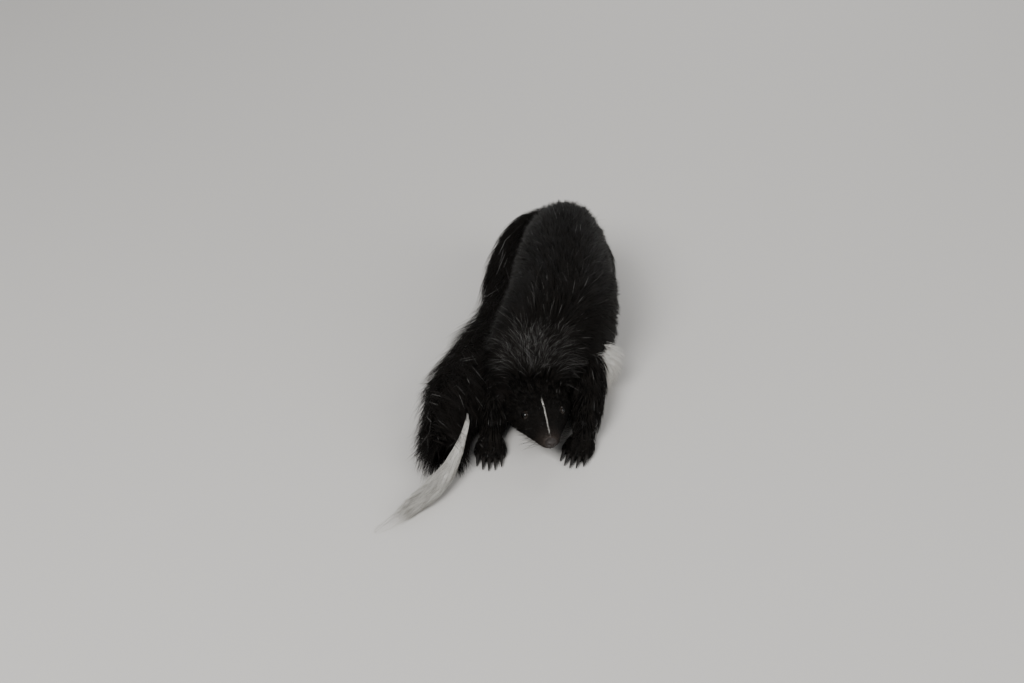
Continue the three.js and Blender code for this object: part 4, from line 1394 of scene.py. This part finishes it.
# %% Colours of the coat
def group_of(name, inputs, outputs):
    """An empty group of shader nodes with named inputs and outputs."""
    tree = bpy.data.node_groups.new(name, "ShaderNodeTree")
    for label, kind, value in inputs:
        socket = tree.interface.new_socket(label, in_out="INPUT", socket_type=kind)
        socket.default_value = value
    for label, kind in outputs:
        tree.interface.new_socket(label, in_out="OUTPUT", socket_type=kind)
    return tree, tree.nodes.new("NodeGroupInput"), tree.nodes.new("NodeGroupOutput")


def mixed(tree, factor, first, second):
    node = tree.nodes.new("ShaderNodeMix")
    node.data_type = "RGBA"
    tree.links.new(factor, node.inputs["Factor"])
    for value, socket in ((first, node.inputs[6]), (second, node.inputs[7])):
        if hasattr(value, "links"):
            tree.links.new(value, socket)
        else:
            socket.default_value = value
    return node.outputs[2]


def sum_of(tree, kind, first, second):
    node = tree.nodes.new("ShaderNodeMath")
    node.operation = kind
    for value, socket in ((first, node.inputs[0]), (second, node.inputs[1])):
        if hasattr(value, "links"):
            tree.links.new(value, socket)
        else:
            socket.default_value = value
    return node.outputs[0]


COLOR, FLOAT = "NodeSocketColor", "NodeSocketFloat"
coat_group, given, result = group_of("coat colours", [
    ("White", FLOAT, 0.0),
    ("Guard hair and glint share", FLOAT, 0.0),
    ("Along", FLOAT, 0.5),
    ("Tone", FLOAT, 0.5),
    ("Muzzle", FLOAT, 0.0),
    ("Black", COLOR, (0.005, 0.0045, 0.0042, 1)),
    ("Warm black", COLOR, (0.014, 0.0115, 0.0095, 1)),
    ("Brown", COLOR, (0.034, 0.026, 0.0215, 1)),
    ("Guard hair and glint colour", COLOR, (0.5, 0.49, 0.47, 1)),
    ("Snow", COLOR, (0.8, 0.78, 0.73, 1)),
    ("Grey", COLOR, (0.13, 0.115, 0.095, 1)),
], [("Color", COLOR), ("Roughness", FLOAT)])
g = given.outputs
warm = sum_of(coat_group, "MULTIPLY", g["Tone"], sum_of(coat_group, "ADD", g["Along"], 0.35))
black = mixed(coat_group, warm, g["Black"], g["Warm black"])
dark = mixed(coat_group, g["Muzzle"], black, g["Brown"])
# Silver towards the hair tips: silver guard hairs on the nape, and painted glints on the scattered tufts
# elsewhere.
tips = sum_of(coat_group, "MULTIPLY", g["Guard hair and glint share"], sum_of(coat_group, "POWER", g["Along"], 2.6))
frosted = mixed(coat_group, tips, dark, g["Guard hair and glint colour"])
pale = mixed(coat_group, sum_of(coat_group, "POWER", g["Tone"], 1.8), g["Snow"], g["Grey"])
coat_group.links.new(mixed(coat_group, g["White"], frosted, pale), result.inputs["Color"])
rough = sum_of(coat_group, "ADD", sum_of(coat_group, "MULTIPLY", g["Tone"], 0.2), 0.45)
rougher = sum_of(coat_group, "MULTIPLY", g["White"], 0.12)
coat_group.links.new(sum_of(coat_group, "ADD", rough, rougher), result.inputs["Roughness"])
print("coat group:", len(coat_group.nodes), "nodes")


# %% Materials
def material(name):
    made = bpy.data.materials.new(name)
    made.use_nodes = True
    return made, made.node_tree, made.node_tree.nodes["Principled BSDF"]


def placed_group(tree, group):
    node = tree.nodes.new("ShaderNodeGroup")
    node.node_tree = group
    return node


def mask(tree, name):
    node = tree.nodes.new("ShaderNodeAttribute")
    node.attribute_name = name
    return node.outputs["Fac"]


MASKS = {"white": "White", "frost": "Guard hair and glint share", "along": "Along", "tone": "Tone", "brown": "Muzzle"}


def hair_material(name):
    made, tree, shader = material(name)
    colours = placed_group(tree, coat_group)
    for key, socket in MASKS.items():
        tree.links.new(mask(tree, key), colours.inputs[socket])
    tree.links.new(colours.outputs["Color"], shader.inputs["Base Color"])
    tree.links.new(colours.outputs["Roughness"], shader.inputs["Roughness"])
    shader.inputs["Specular IOR Level"].default_value = 0.11
    return made, tree, shader, colours


def bumped(tree, shader, scale, strength, distance):
    """Fine unevenness on Object coordinates, as a bump."""
    place = tree.nodes.new("ShaderNodeTexCoord")
    noise = tree.nodes.new("ShaderNodeTexNoise")
    noise.inputs["Scale"].default_value = scale
    noise.inputs["Detail"].default_value = 3
    bump = tree.nodes.new("ShaderNodeBump")
    bump.inputs["Strength"].default_value = strength
    bump.inputs["Distance"].default_value = distance
    tree.links.new(place.outputs["Object"], noise.inputs["Vector"])
    tree.links.new(noise.outputs["Fac"], bump.inputs["Height"])
    tree.links.new(bump.outputs["Normal"], shader.inputs["Normal"])
    return noise.outputs["Fac"]


hair, tree, shader, colours = hair_material("hair")
white_hair_look, tree, shader, colours = hair_material("white hair")

skin_look, tree, shader, colours = hair_material("skin under the coat")
noise = bumped(tree, shader, scale=900, strength=0.4, distance=0.0004)
bare = mixed(tree, noise, (0.006, 0.0052, 0.0048, 1), (0.014, 0.0112, 0.01, 1))
tree.links.new(mixed(tree, mask(tree, "ear"), colours.outputs["Color"], bare), shader.inputs["Base Color"])

nose_look, tree, shader = material("nose skin")
cells = tree.nodes.new("ShaderNodeTexVoronoi")
cells.inputs["Scale"].default_value = 1400
place = tree.nodes.new("ShaderNodeTexCoord")
bump = tree.nodes.new("ShaderNodeBump")
bump.inputs["Strength"].default_value = 0.5
bump.inputs["Distance"].default_value = 0.0003
tree.links.new(place.outputs["Object"], cells.inputs["Vector"])
tree.links.new(cells.outputs["Distance"], bump.inputs["Height"])
tree.links.new(bump.outputs["Normal"], shader.inputs["Normal"])
noise = tree.nodes.new("ShaderNodeTexNoise")
noise.inputs["Scale"].default_value = 350
tree.links.new(place.outputs["Object"], noise.inputs["Vector"])
pad = mixed(tree, noise.outputs["Fac"], (0.012, 0.0092, 0.0082, 1), (0.032, 0.024, 0.0205, 1))
tree.links.new(pad, shader.inputs["Base Color"])
shader.inputs["Roughness"].default_value = 0.6
shader.inputs["Specular IOR Level"].default_value = 0.35
shader.inputs["Coat Weight"].default_value = 0.05
shader.inputs["Coat Roughness"].default_value = 0.35

eye_look, tree, shader = material("wet eye")
ramp = tree.nodes.new("ShaderNodeValToRGB")
ramp.color_ramp.elements[0].position = 0.55
ramp.color_ramp.elements[0].color = (0.01, 0.007, 0.005, 1)
ramp.color_ramp.elements[1].position = 0.86
ramp.color_ramp.elements[1].color = (0.001, 0.001, 0.001, 1)
iris = ramp.color_ramp.elements.new(0.8)
iris.color = (0.01, 0.006, 0.004, 1)
tree.links.new(mask(tree, "facing"), ramp.inputs["Fac"])
tree.links.new(ramp.outputs["Color"], shader.inputs["Base Color"])
shader.inputs["Roughness"].default_value = 0.06
shader.inputs["Specular IOR Level"].default_value = 0.28

claw_look, tree, shader = material("claw horn")
noise = bumped(tree, shader, scale=700, strength=0.15, distance=0.0002)
horn = mixed(tree, noise, (0.007, 0.0062, 0.0055, 1), (0.018, 0.0155, 0.0135, 1))
tree.links.new(horn, shader.inputs["Base Color"])
shader.inputs["Roughness"].default_value = 0.45
shader.inputs["Specular IOR Level"].default_value = 0.25
print("materials:", len(bpy.data.materials))

# %% [markdown]
# ## The pieces take their materials and hang from the root body
# The skin stands for all flesh, and the eyes, nose and claws for their own solids. The solids stay in
# the model for its collisions, and are no longer shown.

# %% Pieces, their materials and the hidden solids
nodes = list(frame["nodes"])
claw_nodes = [name for name in nodes if "claw" in name]
eye_nodes = ["eye_right", "eye_left"]
flesh = [name for name in nodes if name not in [*claw_nodes, *eye_nodes, "nose"]]
coats = [*body_coats, coat_legs, coat_thighs, coat_feet, *tail_coats, coat_face, coat_head, whiskers]
looks = [
    *((piece, hair, "black_coat") for piece in coats),
    (coat_tuft, white_hair_look, "white_coat"),
    (coat_patch, white_hair_look, "white_coat"),
    (skin, skin_look, "black_coat"),
    (coat_ears, hair, "ear_skin"),
    (nose_piece, nose_look, "nose_skin"),
    (eye_piece, eye_look, "eye"),
    (claw_piece, claw_look, "claw_horn"),
]
for piece, look, slot in looks:
    piece.data.materials.clear()
    piece.data.materials.append(look)
    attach(piece, "root")
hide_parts(*flesh)
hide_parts("nose")
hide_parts(*eye_nodes)
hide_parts(*claw_nodes)
total = sum(len(piece.data.loop_triangles) or len(piece.data.polygons) for piece, _, _ in looks)
print("pieces:", len(looks), "with about", total, "faces")

# %% [markdown]
# ## Floor, light and camera
# A plain pale floor, soft light from three sides and the camera where the photographer stood: a little
# over a metre off, looking down at the animal's head.

# %% Floor and light
bm = bmesh.new()
bmesh.ops.create_grid(bm, x_segments=1, y_segments=1, size=6)
floor = piece_from(bm, "floor")
floor_look, tree, shader = material("pale floor")
shader.inputs["Base Color"].default_value = (0.6, 0.58, 0.55, 1)
shader.inputs["Roughness"].default_value = 0.7
floor.data.materials.append(floor_look)


def soft_light(name, place, size, power_watts, colour=(1, 1, 1)):
    lamp = bpy.data.lights.new(name, "AREA")
    lamp.size = size
    lamp.energy = power_watts
    lamp.color = colour
    light = bpy.data.objects.new(name, lamp)
    light.location = place
    light.rotation_euler = (-Vector(place)).to_track_quat("-Z", "Y").to_euler()
    bpy.context.scene.collection.objects.link(light)
    return light


soft_light("key", (-0.7, -1.2, 1.5), 0.9, 40)
soft_light("fill", (1.3, -0.7, 0.9), 1.2, 12)
soft_light("rim", (0.4, 1.5, 1.0), 0.8, 9)
world = bpy.data.worlds.new("room")
world.use_nodes = True
world.node_tree.nodes["Background"].inputs["Color"].default_value = (0.8, 0.82, 0.85, 1)
world.node_tree.nodes["Background"].inputs["Strength"].default_value = 0.35
bpy.context.scene.world = world
print("lights:", len(bpy.data.lights))

# %% Camera
CAMERA_DOWN = 35
CAMERA_FROM = (-30.59, -1019.06, 828.11)
FOCAL_PIXELS = 1700
PHOTO_WIDTH = 1024
camera = bpy.data.objects.new("camera", bpy.data.cameras.new("camera"))
camera.data.sensor_width = 36
camera.data.lens = FOCAL_PIXELS * camera.data.sensor_width / PHOTO_WIDTH
camera.location = to_frame(CAMERA_FROM)
camera.rotation_euler = (math.radians(90 - CAMERA_DOWN), 0, 0)
bpy.context.scene.collection.objects.link(camera)
bpy.context.scene.camera = camera
print("camera:", round(camera.data.lens, 2), "mm lens at", [round(v, 3) for v in camera.location])
